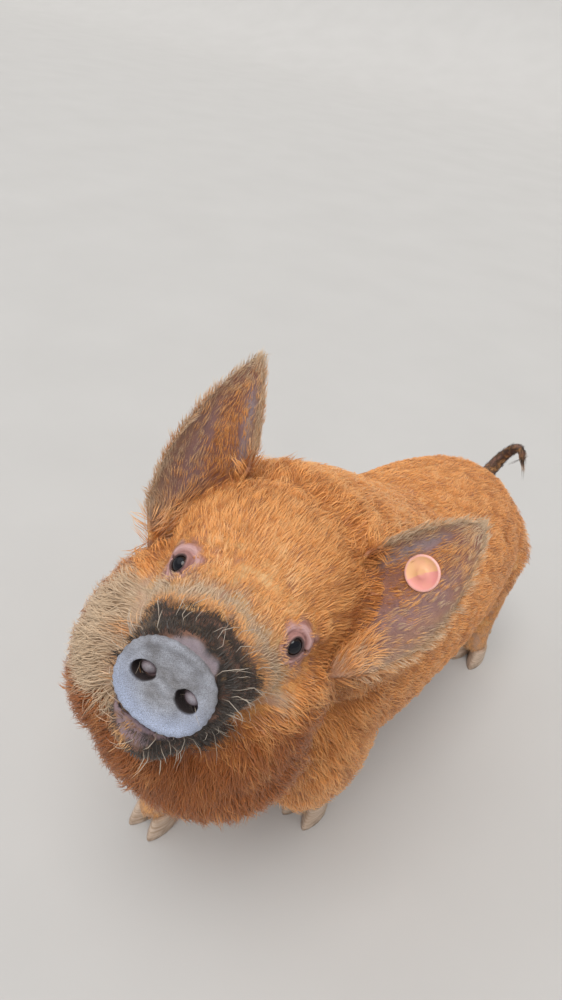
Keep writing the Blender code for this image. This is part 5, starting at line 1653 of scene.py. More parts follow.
@dataclass(frozen=True)
class Hair:
    """The tufts of the coat."""

    name: str = "ginger_hair"
    tones: HairTones = HairTones()
    roughness: float = 0.48

    def material(self) -> Material:
        """Return the material of the tufts, made once."""
        if self.name in bpy.data.materials:
            return bpy.data.materials[self.name]
        material, nodes, shader = new_material(
            self.name, self.roughness, Sheen_Weight=0.12, Sheen_Roughness=0.4)
        grain = nodes.group(grain_group(), {"Pores": 1800.0, "Mottling": 34.0}).outputs
        tint = nodes.math("MULTIPLY", nodes.attribute("tint"), 0.65)
        tint = nodes.math("ADD", tint, nodes.math("MULTIPLY", grain["Mottle"], 0.35))
        colour = self.tones.colour(nodes, nodes.attribute("share"), tint)
        nodes.put(shader, "Base Color", colour)
        nodes.bump(shader, grain["Height"], 0.0002, 0.4)
        return material


@dataclass(frozen=True)
class HoofHorn:
    """Tan horn with fine growth lines."""

    pale: Colour = (0.640, 0.500, 0.390)
    tan: Colour = (0.430, 0.300, 0.205)
    stain: Colour = (0.170, 0.110, 0.075)

    def material(self) -> Material:
        """Return the material of the hooves, made once."""
        if "hoof_horn" in bpy.data.materials:
            return bpy.data.materials["hoof_horn"]
        material, nodes, shader = new_material("hoof_horn", 0.42)
        grain = nodes.group(grain_group(), {"Pores": 900.0, "Mottling": 90.0}).outputs
        place = nodes.place()
        flat = nodes.add("ShaderNodeMapping", {"Vector": place, "Scale": (0.08, 0.08, 1.0)}).outputs[0]
        lines = nodes.noise(flat, 520.0, 3.0)
        upright = nodes.add("ShaderNodeMapping", {"Vector": place, "Scale": (1.0, 1.0, 0.06)}).outputs[0]
        fibres = nodes.noise(upright, 1400.0, 2.0)
        colour = nodes.blend(nodes.range(lines, 0.35, 0.65), self.tan, self.pale)
        colour = nodes.blend(nodes.range(fibres, 0.55, 0.75, 0.0, 0.35), colour, self.tan)
        low = nodes.add("ShaderNodeSeparateXYZ", {0: place}).outputs["Z"]
        dirt = nodes.math("MULTIPLY", nodes.range(low, 0.0, 0.016, 0.75, 0.1), grain["Mottle"])
        nodes.put(shader, "Base Color", nodes.blend(dirt, colour, self.stain))
        nodes.put(shader, "Roughness", nodes.range(grain["Mottle"], 0.0, 1.0, 0.34, 0.56))
        height = nodes.math("ADD", lines, nodes.math("MULTIPLY", fibres, 0.5))
        nodes.bump(shader, height, 0.0008, 0.6)
        return material


@dataclass(frozen=True)
class WetEye:
    """A dark eye under a clear wet front, with a brown iris ring and a bluish bloom."""

    pupil: Colour = (0.004, 0.004, 0.007)
    iris: Colour = (0.028, 0.013, 0.006)
    white: Colour = (0.070, 0.036, 0.028)

    def material(self) -> Material:
        """Return the material of the eyes, made once."""
        if "wet_eye" in bpy.data.materials:
            return bpy.data.materials["wet_eye"]
        material, nodes, shader = new_material("wet_eye", 0.07, Specular_IOR_Level=0.35)
        grain = nodes.group(grain_group(), {"Pores": 1600.0, "Mottling": 300.0}).outputs
        outward = nodes.attribute("outward")
        fibres = nodes.blend(grain["Mottle"], self.iris, self.pupil)
        colour = nodes.blend(nodes.range(outward, 0.86, 0.90), fibres, self.pupil)
        colour = nodes.blend(nodes.range(outward, 0.50, 0.58), self.white, colour)
        nodes.put(shader, "Base Color", colour)
        nodes.bump(shader, grain["Mottle"], 0.0001, 0.15)
        return material


@dataclass(frozen=True)
class TagPlastic:
    """Moulded pink plastic, a little rubbed and stained."""

    pink: Colour = (0.830, 0.320, 0.300)
    faded: Colour = (0.880, 0.500, 0.250)
    worn: Colour = (0.870, 0.560, 0.500)

    def material(self) -> Material:
        """Return the material of the ear tag."""
        material, nodes, shader = new_material("pink_button", 0.38)
        grain = nodes.group(grain_group(), {"Pores": 1400.0, "Mottling": 110.0}).outputs
        stained = nodes.math("MULTIPLY", grain["Mottle"], 0.35)
        stained = nodes.math("ADD", stained, nodes.attribute("stain"), clamp=True)
        colour = nodes.blend(stained, self.pink, self.faded)
        worn = nodes.math("MULTIPLY", nodes.attribute("edge"), nodes.range(grain["Height"], 0.5, 0.9))
        nodes.put(shader, "Base Color", nodes.blend(worn, colour, self.worn))
        nodes.put(shader, "Roughness", nodes.range(grain["Mottle"], 0.0, 1.0, 0.30, 0.48))
        nodes.bump(shader, grain["Height"], 0.0002, 0.35)
        return material


@dataclass(frozen=True)
class TuftKind:
    """One kind of tuft: how many strands it has and how they lie."""

    name: str
    strands: int
    rings: int
    width: float
    spread: float
    rise: float
    drop: float
    curl: float
    seed: int
    variants: int = 6
    thickness: float = 0.42

    def collection(self) -> Collection:
        """Return the collection of this kind's variants, made once.

        Each variant lies along +Y over z = 0, one unit long, and is in metres across and up.
        """
        if self.name in bpy.data.collections:
            return bpy.data.collections[self.name]
        group = bpy.data.collections.new(self.name)
        draw = np.random.default_rng(self.seed)
        for number in range(self.variants):
            obj = self.variant(f"{self.name}_{number}", draw)
            bpy.context.scene.collection.objects.unlink(obj)
            group.objects.link(obj)
        return group

    def variant(self, name: str, draw: np.random.Generator) -> Object:
        """Make one variant, with share and patch stored on its corners."""
        shapes = []
        shares = []
        patches = []
        for strand in range(self.strands):
            points, faces, along = self.strand(draw, strand)
            shapes.append((points, faces))
            shares += along
            for index, share in enumerate(along):
                patches.append(((strand + 0.2 + 0.3 * (index % 3)) / self.strands, share, 0.0))
        obj = make_object(name, shapes)
        put_value(obj.data, "share", np.array(shares))
        put_value(obj.data, "patch", np.array(patches))
        return obj

    def strand(self, draw: np.random.Generator, strand: int) -> tuple[list[Vector], list[tuple], list[float]]:
        """Make one closed, three-sided, tapered strand.

        Args:
            draw: the source of random values.
            strand: the number of the strand in its tuft.

        Returns:
            Points, faces and the share of the length at each point.
        """
        aside = (strand - (self.strands - 1) / 2) / max(self.strands - 1, 1) * 2 * self.spread
        aside += draw.uniform(-0.3, 0.3) * self.spread
        start = draw.uniform(-0.10, 0.14)
        length = draw.uniform(0.72, 1.08)
        rise = self.rise * draw.uniform(0.5, 1.5)
        sway = draw.uniform(-1.0, 1.0) * self.curl - aside * 0.55
        wave = draw.uniform(-0.5, 0.5) * self.curl
        width = self.width * draw.uniform(0.75, 1.25)
        roll = draw.uniform(-0.5, 0.5)
        points = []
        along = []
        for ring in range(self.rings):
            t = (0.0, 0.5)[ring] if self.rings == 2 else (0.0, 0.33, 0.68)[ring]
            wide = width * ((0.70, 0.85)[ring] if self.rings == 2 else (0.70, 1.0, 0.72)[ring]) / 2
            centre = self.centre(t, aside, start, length, rise, sway, wave)
            across = Vector((math.cos(roll), 0, math.sin(roll))) * wide
            up = Vector((-math.sin(roll), 0, math.cos(roll))) * (wide * 2 * self.thickness)
            points += [centre - across, centre + across, centre + up]
            along += [t, t, t]
        points.append(self.centre(1.0, aside, start, length, rise, sway, wave))
        along.append(1.0)
        faces = [(0, 1, 2)]
        for ring in range(self.rings - 1):
            for side in range(3):
                low = ring * 3 + side
                after = ring * 3 + (side + 1) % 3
                faces.append((low, after, after + 3, low + 3))
        last = (self.rings - 1) * 3
        faces += [(last + side, last + (side + 1) % 3, last + 3) for side in range(3)]
        return points, faces, along

    def centre(self, t: float, aside: float, start: float, length: float,
               rise: float, sway: float, wave: float) -> Vector:
        """Return the middle of a strand at the share t of its length."""
        x = aside + sway * t * t + wave * math.sin(math.pi * 1.5 * t)
        z = -0.0012 + rise * (1.0 - (1.0 - t) ** 1.9) - self.drop * t * t
        return Vector((x, start + length * t, z))


class Tuft(Enum):
    """The kinds of tuft that the coat is made of."""

    LONG = TuftKind("long_tuft", 6, 2, 0.0011, 0.0050, 0.0045, 0.0030, 0.0035, 3)
    SHAGGY = TuftKind("shaggy_tuft", 8, 2, 0.0008, 0.0052, 0.0066, 0.0028, 0.0046, 5)
    SHORT = TuftKind("short_tuft", 5, 2, 0.0006, 0.0024, 0.0030, 0.0008, 0.0016, 7)
    WHISKER = TuftKind("whisker", 1, 3, 0.0006, 0.0, 0.0100, 0.0, 0.0060, 11)


class CoatTree:
    """The Geometry Nodes tree that grows tufts on one region of the skin."""

    inputs: tuple = (
        ("Skin", "NodeSocketGeometry", None),
        ("Tufts", "NodeSocketCollection", None),
        ("Region", "NodeSocketFloat", 0.0),
        ("Density", "NodeSocketFloat", 20000.0),
        ("Spacing", "NodeSocketFloat", 0.004),
        ("Clumping", "NodeSocketFloat", 0.5),
        ("Clump Size", "NodeSocketFloat", 0.02),
        ("Unrest", "NodeSocketFloat", 0.25),
        ("Turn", "NodeSocketFloat", 0.2),
        ("Stretch", "NodeSocketFloat", 1.0),
        ("Field", "NodeSocketString", "density"),
        ("Variants", "NodeSocketInt", 6),
        ("Seed", "NodeSocketInt", 1),
        ("Material", "NodeSocketMaterial", None),
    )

    def __init__(self) -> None:
        """Build the tree."""
        self.tree = bpy.data.node_groups.new("coat", "GeometryNodeTree")
        for label, kind, value in self.inputs:
            socket = self.tree.interface.new_socket(label, in_out="INPUT", socket_type=kind)
            if value is not None:
                socket.default_value = value
        self.tree.interface.new_socket("Coat", in_out="OUTPUT", socket_type="NodeSocketGeometry")
        self.nodes = Nodes(self.tree)
        self.start = self.tree.nodes.new("NodeGroupInput")
        self.grow()

    def named(self, name: "str | NodeSocket", kind: str = "FLOAT") -> NodeSocket:
        """Return an attribute of the skin, by its name or by the input that holds its name."""
        node = self.nodes.add("GeometryNodeInputNamedAttribute", {"Name": name}, data_type=kind)
        return node.outputs["Attribute"]

    def drawn(self, low: "float | NodeSocket", high: "float | NodeSocket",
              offset: int) -> NodeSocket:
        """Return a random value for each tuft."""
        seed = self.nodes.math("ADD", self.start.outputs["Seed"], float(offset))
        node = self.nodes.add("FunctionNodeRandomValue", {2: low, 3: high, "Seed": seed}, data_type="FLOAT")
        return node.outputs[1]

    def keep(self, geometry: NodeSocket, name: str, value: NodeSocket, kind: str) -> NodeSocket:
        """Store a value on each tuft under a name."""
        node = self.nodes.add(
            "GeometryNodeStoreNamedAttribute", {"Geometry": geometry}, data_type=kind, domain="POINT")
        node.inputs["Name"].default_value = name
        self.nodes.put(node, "Value", value)
        return node.outputs["Geometry"]

    def roots(self) -> tuple[NodeSocket, NodeSocket]:
        """Spread the roots over the region; return them and the skin's normal at each."""
        nodes, start = self.nodes, self.start
        away = nodes.math("ABSOLUTE", nodes.math("SUBTRACT", self.named("region"), start.outputs["Region"]))
        field = self.named(start.outputs["Field"])
        share = nodes.math("MULTIPLY", nodes.math("LESS_THAN", away, 0.5), field, clamp=True)
        spread = nodes.add("GeometryNodeDistributePointsOnFaces", {
            "Mesh": start.outputs["Skin"], "Distance Min": start.outputs["Spacing"],
            "Density Max": start.outputs["Density"], "Density Factor": share,
            "Seed": start.outputs["Seed"]}, distribute_method="POISSON")
        return spread.outputs["Points"], spread.outputs["Normal"]

    def lay(self) -> NodeSocket:
        """Return the direction of each tuft: its lie, drawn to the end of its lock."""
        nodes, start = self.nodes, self.start
        place = nodes.add("GeometryNodeInputPosition").outputs[0]
        cells = nodes.add("ShaderNodeTexVoronoi", {
            "Vector": place, "Scale": nodes.math("DIVIDE", 1.0, start.outputs["Clump Size"])})
        drawn = nodes.aim("SUBTRACT", cells.outputs["Position"], place)
        drawn = nodes.aim("SCALE", drawn, start.outputs["Clumping"])
        ahead = nodes.aim("SCALE", self.named("lie", "FLOAT_VECTOR"), self.named("length"))
        noise = nodes.add("ShaderNodeTexNoise", {"Vector": place, "Scale": 34.0, "Detail": 1.0})
        wander = nodes.aim("SUBTRACT", noise.outputs["Color"], (0.5, 0.5, 0.5))
        unrest = nodes.math("MULTIPLY", self.named("length"), start.outputs["Unrest"])
        wander = nodes.aim("SCALE", wander, unrest)
        return nodes.aim("ADD", nodes.aim("ADD", ahead, drawn), nodes.aim("SCALE", wander, 4.0))

    def grow(self) -> None:
        """Add the nodes that set, size, turn and realize the tufts."""
        nodes, start = self.nodes, self.start
        points, normal = self.roots()
        stand = nodes.add("FunctionNodeAlignRotationToVector", {"Vector": normal}, axis="Z")
        lie = nodes.add("FunctionNodeAlignRotationToVector", {
            "Rotation": stand.outputs[0], "Vector": self.lay()}, axis="Y", pivot_axis="Z")
        back = nodes.math("MULTIPLY", start.outputs["Turn"], -1.0)
        yaw = nodes.add("ShaderNodeCombineXYZ", {"Z": self.drawn(back, start.outputs["Turn"], 11)}).outputs[0]
        local = nodes.add("FunctionNodeEulerToRotation", {0: yaw}).outputs[0]
        turn = nodes.add(
            "FunctionNodeRotateRotation", {0: lie.outputs[0], 1: local}, rotation_space="LOCAL").outputs[0]
        long = nodes.math("MULTIPLY", self.named("length"), self.drawn(0.78, 1.22, 13))
        long = nodes.math("MULTIPLY", long, start.outputs["Stretch"])
        wide = self.drawn(0.75, 1.25, 17)
        high = nodes.math("MULTIPLY", self.named("lift"), self.drawn(0.55, 1.45, 19))
        size = nodes.add("ShaderNodeCombineXYZ", {"X": wide, "Y": long, "Z": high}).outputs[0]
        place = nodes.add("GeometryNodeInputPosition").outputs[0]
        points = self.keep(points, "root", place, "FLOAT_VECTOR")
        points = self.keep(points, "tint", self.drawn(0.0, 1.0, 23), "FLOAT")
        tufts = nodes.add("GeometryNodeCollectionInfo", {
            "Collection": start.outputs["Tufts"], "Separate Children": True, "Reset Children": True})
        last = nodes.math("SUBTRACT", start.outputs["Variants"], 1.0)
        seed = nodes.math("ADD", start.outputs["Seed"], 29.0)
        pick = nodes.add("FunctionNodeRandomValue", {4: 0, 5: last, "Seed": seed}, data_type="INT")
        planted = nodes.add("GeometryNodeInstanceOnPoints", {
            "Points": points, "Instance": tufts.outputs[0], "Pick Instance": True,
            "Instance Index": pick.outputs[2], "Rotation": turn, "Scale": size})
        solid = nodes.add("GeometryNodeRealizeInstances", {"Geometry": planted.outputs[0]})
        dressed = nodes.add("GeometryNodeSetMaterial", {
            "Geometry": solid.outputs[0], "Material": start.outputs["Material"]})
        end = self.tree.nodes.new("NodeGroupOutput")
        self.tree.links.new(dressed.outputs[0], end.inputs[0])

    def apply(self, skin: Object, name: str, values: dict[str, object]) -> Object:
        """Grow one piece of the coat as a plain mesh.

        Args:
            skin: the finished skin.
            name: the piece's name.
            values: the tree's inputs by name.

        Returns:
            The piece.
        """
        host = bpy.data.objects.new("host", skin.data)
        bpy.context.scene.collection.objects.link(host)
        grower = host.modifiers.new("coat", "NODES")
        grower.node_group = self.tree
        for socket in self.tree.interface.items_tree:
            if socket.in_out == "INPUT" and socket.name in values:
                grower[socket.identifier] = values[socket.name]
        graph = bpy.context.evaluated_depsgraph_get()
        mesh = bpy.data.meshes.new_from_object(host.evaluated_get(graph), depsgraph=graph)
        mesh.name = name
        host.modifiers.clear()
        bpy.data.objects.remove(host, do_unlink=True)
        obj = bpy.data.objects.new(name, mesh)
        bpy.context.scene.collection.objects.link(obj)
        return obj


@dataclass(frozen=True)
class CoatPatch:
    """One piece of the coat."""

    region: Region
    tuft: Tuft
    spacing: float
    density: float
    clumping: float = 0.35
    clump_size: float = 0.020
    unrest: float = 0.15
    turn: float = 0.14
    stretch: float = 1.0
    field: str = "density"
    label: str = ""
    finish: Hair = Hair()
    slot: str = "ginger_coat"

    def build(self, tree: CoatTree, skin: Object) -> Object:
        """Grow this piece on the skin."""
        obj = tree.apply(skin, self.label or self.region.piece, {
            "Tufts": self.tuft.value.collection(), "Region": float(self.region.value),
            "Density": self.density, "Spacing": self.spacing, "Clumping": self.clumping,
            "Clump Size": self.clump_size, "Unrest": self.unrest, "Turn": self.turn,
            "Stretch": self.stretch, "Field": self.field, "Variants": self.tuft.value.variants,
            "Seed": 40 + self.region.value + len(self.label), "Material": self.finish.material()})
        self.unwrap(obj.data)
        return obj

    def dress(self, obj: Object) -> None:
        """Give the piece its material and body."""
        obj.data.materials.clear()
        obj.data.materials.append(self.finish.material())
        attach(obj, "root")

    def unwrap(self, mesh: Mesh) -> None:
        """Make the map in which each tuft is a small patch at its root's place on the skin."""
        roots = get_value(mesh, "root", 3).astype(np.float64) - np.array(SHIFT)
        patch = get_value(mesh, "patch", 3)
        places = Unwrap().place(roots, self.region)
        places = places + (patch[:, :2] - 0.5) * Unwrap.patch
        corners = np.empty(len(mesh.loops), dtype=np.int32)
        mesh.loops.foreach_get("vertex_index", corners)
        layer = mesh.uv_layers.new(name="OFBake")
        layer.data.foreach_set("uv", places[corners].astype(np.float32).ravel())
        for name in ("root", "patch", "region", "lie", "length", "lift", "density", "snout", "bare", "inner",
                     "band", "flesh", "deep", "whisker", "glow", "crease"):
            if name in mesh.attributes:
                mesh.attributes.remove(mesh.attributes[name])


@dataclass(frozen=True)
class Unwrap:
    """The skin laid flat: trunk, head, legs, ears and tail each unrolled in a cell of their own."""

    patch: float = 0.003

    def place(self, points: np.ndarray, region: Region) -> np.ndarray:
        """Return the place of each point on the flat map, inside its part's cell."""
        if region is Region.LEGS:
            return self.legs(points)
        if region in (Region.FACE, Region.CHEEK_LEFT, Region.CHEEK_RIGHT):
            local = HEAD.local(points) - np.array((0.0, 0.030, -0.060))
            turn = np.arctan2(local[:, 0], -local[:, 1]) / (2 * np.pi) + 0.5
            tilt = np.arctan2(local[:, 2], np.hypot(local[:, 0], local[:, 1])) / np.pi + 0.5
            return self.cell(turn, tilt, 0.0, 0.5, 0.6, 1.0)
        if region in (Region.EAR_LEFT, Region.EAR_RIGHT):
            return self.ear(points, Side.LEFT if region is Region.EAR_LEFT else Side.RIGHT)
        if region is Region.TAIL:
            turn = np.arctan2(points[:, 0], points[:, 2] - 0.33) / (2 * np.pi) + 0.5
            reach = np.hypot(points[:, 0], points[:, 2] - 0.33) / 0.12
            return self.cell(turn, reach, 0.6, 0.9, 0.7, 1.0)
        height = np.interp(points[:, 1], (-0.38, -0.12, 0.36), (0.42, 0.33, 0.26))
        turn = np.arctan2(points[:, 0], points[:, 2] - height) / (2 * np.pi) + 0.5
        return self.cell(turn, (points[:, 1] + 0.42) / 0.84, 0.0, 0.0, 1.0, 0.5)

    def legs(self, points: np.ndarray) -> np.ndarray:
        """Return the place of points on the legs, each leg a strip."""
        feet = [foot.value for foot in Foot]
        nearest = np.array([np.hypot(points[:, 0] - x, points[:, 1] - y) for x, y in feet]).argmin(axis=0)
        turn = np.zeros(len(points))
        for index, (x, y) in enumerate(feet):
            around = np.arctan2(points[:, 0] - x, points[:, 1] - y) / (2 * np.pi) + 0.5
            turn = np.where(nearest == index, around, turn)
        return self.cell((nearest + 0.03 + turn * 0.94) / 4, points[:, 2] / 0.2, 0.6, 0.5, 1.0, 0.7)

    def ear(self, points: np.ndarray, side: Side) -> np.ndarray:
        """Return the place of points on one ear, its two faces side by side."""
        samples = Ear(side).grid()
        tree = search_tree([sample[0] for sample in samples])
        found = {}
        flat = np.zeros((len(points), 2))
        for index, point in enumerate(points):
            key = tuple(point)
            if key not in found:
                _, along, across, face = samples[tree.find(point)[1]]
                found[key] = (across / 2 + (0.5 if face < 0 else 0.0), along)
            flat[index] = found[key]
        left = 0.6 if side is Side.LEFT else 0.8
        return self.cell(flat[:, 0], flat[:, 1], left, 0.7, left + 0.2, 0.9)

    def cell(self, across: np.ndarray, along: np.ndarray,
             left: float, low: float, right: float, high: float) -> np.ndarray:
        """Return shares from 0 to 1 as places inside one cell of the map."""
        margin = self.patch
        u = left + margin + np.clip(across, 0, 1) * (right - left - 2 * margin)
        v = low + margin + np.clip(along, 0, 1) * (high - low - 2 * margin)
        return np.stack((u, v), axis=1)


PALE_TONES = HairTones(dark_root=(0.20, 0.155, 0.12), dark_tip=(0.72, 0.62, 0.50))
COAT = (
    CoatPatch(Region.TRUNK_FRONT, Tuft.LONG, 0.0060, 60000.0),
    CoatPatch(Region.TRUNK_MIDDLE, Tuft.LONG, 0.0064, 60000.0),
    CoatPatch(Region.TRUNK_BACK, Tuft.LONG, 0.0060, 60000.0),
    CoatPatch(Region.NECK_LEFT, Tuft.SHAGGY, 0.0045, 60000.0, 0.5, unrest=0.22, turn=0.2),
    CoatPatch(Region.NECK_RIGHT, Tuft.SHAGGY, 0.0048, 60000.0, 0.5, unrest=0.22, turn=0.2),
    CoatPatch(Region.FACE, Tuft.SHORT, 0.0029, 300000.0, 0.30, 0.010),
    CoatPatch(Region.CHEEK_LEFT, Tuft.SHAGGY, 0.0038, 140000.0, 0.5, 0.016, 0.25, 0.2),
    CoatPatch(Region.CHEEK_RIGHT, Tuft.SHAGGY, 0.0038, 140000.0, 0.5, 0.016, 0.25, 0.2),
    CoatPatch(Region.EAR_LEFT, Tuft.SHORT, 0.0024, 300000.0, 0.25, 0.008),
    CoatPatch(Region.EAR_RIGHT, Tuft.SHORT, 0.0024, 300000.0, 0.25, 0.008),
    CoatPatch(Region.LEGS, Tuft.SHORT, 0.0050, 60000.0, 0.3, 0.010),
    CoatPatch(Region.TAIL, Tuft.SHORT, 0.0032, 120000.0, 0.3, 0.010, slot="dark_coat"),
    CoatPatch(Region.FACE, Tuft.WHISKER, 0.0040, 9000.0, 0.0, turn=0.5, stretch=1.9,
              field="whisker", label="coat_whiskers", finish=Hair("whisker_hair", PALE_TONES)),
)


@dataclass(frozen=True)
class Eye:
    """One eye: a ball with a bulged clear front."""

    side: Side
    radius: float = 0.0117
    bulge: float = 0.0008

    def build(self) -> Object:
        """Build the eye, with how far each point faces outward stored on it."""
        lids = Lids(self.side)
        points, faces = ball_shape(Vector((0, 0, 0)), [1.0] * 3, None, 6)
        aim = lids.turn() @ Vector((0, -1, 0))
        outward = np.array([point.dot(aim) for point in points])
        front = smooth_step(outward, 0.72, 0.98)
        placed = []
        for point, share in zip(points, front):
            placed.append(lids.centre() + SHIFT + point * (self.radius + self.bulge * float(share)))
        obj = make_object("clear_eye_" + self.side.word, [(placed, faces)])
        put_value(obj.data, "outward", outward)
        obj.data.shade_smooth()
        return obj

    def dress(self, obj: Object) -> None:
        """Give the eye its material and body, and hide its solid."""
        obj.data.materials.append(WetEye().material())
        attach(obj, "root")
        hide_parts("eye_" + self.side.word)


@dataclass(frozen=True)
class Hoof:
    """One cloven hoof: two claws joined at the bulb of the heel."""

    foot: Foot
    coronet: float = 0.032
    rings: tuple = (
        (0.00, 0.96, 0.575, 0.385),
        (0.03, 1.00, 0.600, 0.400),
        (0.20, 1.00, 0.590, 0.410),
        (0.60, 0.93, 0.480, 0.410),
        (0.92, 0.85, 0.385, 0.402),
        (1.00, 0.80, 0.350, 0.380),
    )
    spread: float = 0.0152
    half_width: float = 0.0142
    length: float = 0.062
    taper: float = 0.30
    splay: float = math.radians(5)
    sides: int = 40

    def claw(self, lean: int) -> Shape:
        """Return one claw of the hoof, from its flat sole to the coronet."""
        foot_x, foot_y = self.foot.value
        place = Matrix.Translation((foot_x + self.spread * lean, foot_y, 0))
        turn = place @ Matrix.Rotation(self.splay * lean, 4, "Z")
        points = []
        for height, wide, toe, heel in self.rings:
            for side in range(self.sides):
                angle = 2 * math.pi * side / self.sides
                reach = toe if math.sin(angle) > 0 else heel
                narrow = 1.0 - self.taper * max(math.sin(angle), 0.0) ** 2
                x = self.half_width * wide * narrow * math.cos(angle)
                y = -self.length * reach * math.sin(angle)
                points.append(turn @ Vector((x, y, height * self.coronet)) + SHIFT)
        return points, loft_faces(len(self.rings), self.sides)

    def build(self) -> Object:
        """Build the hoof."""
        foot_x, foot_y = self.foot.value
        bridge = Vector((foot_x, foot_y + 0.006, 0.024)) + SHIFT
        shapes = [self.claw(1), self.claw(-1), ball_shape(bridge, (0.014, 0.015, 0.0085), None, 4)]
        obj = fuse("cloven_hoof_" + self.foot.word, shapes, 0.0011, 3)
        points = points_of(obj)
        points[:, 2] = np.where(points[:, 2] < 0.0012, 0.0, points[:, 2])
        put_points(obj, points)
        obj.data.shade_smooth()
        return obj

    def dress(self, obj: Object) -> None:
        """Give the hoof its material and body, and hide its solid."""
        obj.data.materials.clear()
        obj.data.materials.append(HoofHorn().material())
        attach(obj, "root")
        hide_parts("hoof_" + self.foot.word)


@dataclass(frozen=True)
class DewClaws:
    """The two small claws behind one foot."""

    foot: Foot
    drop: float = 0.052
    spread: float = 0.013
    back: float = 0.027
    radii: Place = (0.0058, 0.0085, 0.0105)
    lean: float = math.radians(38)

    def build(self) -> Object:
        """Build both claws, each drawn to a blunt point below."""
        foot_x, foot_y = self.foot.value
        shapes = []
        for side in (1, -1):
            centre = Vector((foot_x + self.spread * side, foot_y + self.back, self.drop)) + SHIFT
            turn = Matrix.Rotation(self.lean, 3, "X")
            points, faces = ball_shape(Vector((0, 0, 0)), [1.0] * 3, None, 4)
            shaped = []
            for point in points:
                thin = 1.0 - 0.28 * max(-point.z, 0.0) ** 2
                wide, long, high = self.radii
                local = Vector((point.x * thin * wide, point.y * thin * long, point.z * high))
                shaped.append(centre + turn @ local)
            shapes.append((shaped, faces))
        obj = make_object("small_claws_" + self.foot.word, shapes)
        obj.data.shade_smooth()
        return obj

    def dress(self, obj: Object) -> None:
        """Give the claws their material and body, and hide their solids."""
        obj.data.materials.append(HoofHorn().material())
        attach(obj, "root")
        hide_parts(*("dewclaw_" + self.foot.word + letter for letter in ("_a", "_b")))


@dataclass(frozen=True)
class EarTag:
    """The blank round tag: a dished button before the ear, its pin and its back plate."""

    along: float = 0.46
    across: float = 0.45
    radius: float = 0.0175
    thickness: float = 0.0024
    pin: float = 0.003
    back: float = 0.012
    lift: float = 0.0036
    sides: int = 72

    def profile(self) -> list[tuple[float, float]]:
        """Return distance along the axis and radius of each ring, from the button to the back."""
        front = self.lift + self.thickness
        return [
            (front - 0.0002, 0.0030), (front - 0.0002, 0.0052), (front - 0.0007, 0.0058),
            (front - 0.0007, self.radius - 0.0034), (front - 0.0001, self.radius - 0.0027),
            (front, self.radius - 0.0012), (front - 0.0005, self.radius - 0.0003),
            (front - 0.0011, self.radius), (self.lift + 0.0004, self.radius - 0.0001),
            (self.lift, self.radius - 0.0006), (self.lift, self.pin + 0.0008), (self.lift - 0.0008, self.pin),
            (-self.lift + 0.0008, self.pin), (-self.lift, self.pin + 0.0008),
            (-self.lift, self.back - 0.0004), (-self.lift - 0.0006, self.back), (-self.lift - 0.0014, self.back),
            (-self.lift - 0.0020, self.back - 0.0008),
        ]

    def build(self) -> Object:
        """Build the tag, with its edges marked for wear."""
        ear = Ear(Side.LEFT)
        place = HEAD.place(ear.sheet(self.along, self.across)) + SHIFT
        up = ear.sheet(self.along + 0.05, self.across) - ear.sheet(self.along - 0.05, self.across)
        wide = ear.sheet(self.along, self.across + 0.05) - ear.sheet(self.along, self.across - 0.05)
        normal = up.cross(wide).normalized()
        normal = -normal if normal.y > 0 else normal
        turn = HEAD.matrix().to_3x3() @ turned_to(normal, Vector((0, 0, 1)))
        points = []
        edge = []
        stain = []
        rings = self.profile()
        for distance, radius in rings:
            for side in range(self.sides):
                angle = 2 * math.pi * side / self.sides
                local = Vector((radius * math.cos(angle), -distance, radius * math.sin(angle)))
                points.append(place + turn @ local)
                edge.append(1.0 if radius > self.radius - 0.0014 else 0.0)
                stain.append(0.75 if math.cos(angle + 0.6) < 0.1 and radius < self.radius - 0.0020 else 0.0)
        obj = make_object("round_ear_tag", [(points, loft_faces(len(rings), self.sides))])
        put_value(obj.data, "edge", np.array(edge))
        put_value(obj.data, "stain", np.array(stain))
        obj.data.shade_smooth()
        obj.data.set_sharp_from_angle(angle=math.radians(50))
        return obj

    def dress(self, obj: Object) -> None:
        """Give the tag its material and body, and hide its solid."""
        obj.data.materials.append(TagPlastic().material())
        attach(obj, "root")
        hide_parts("ear_tag")


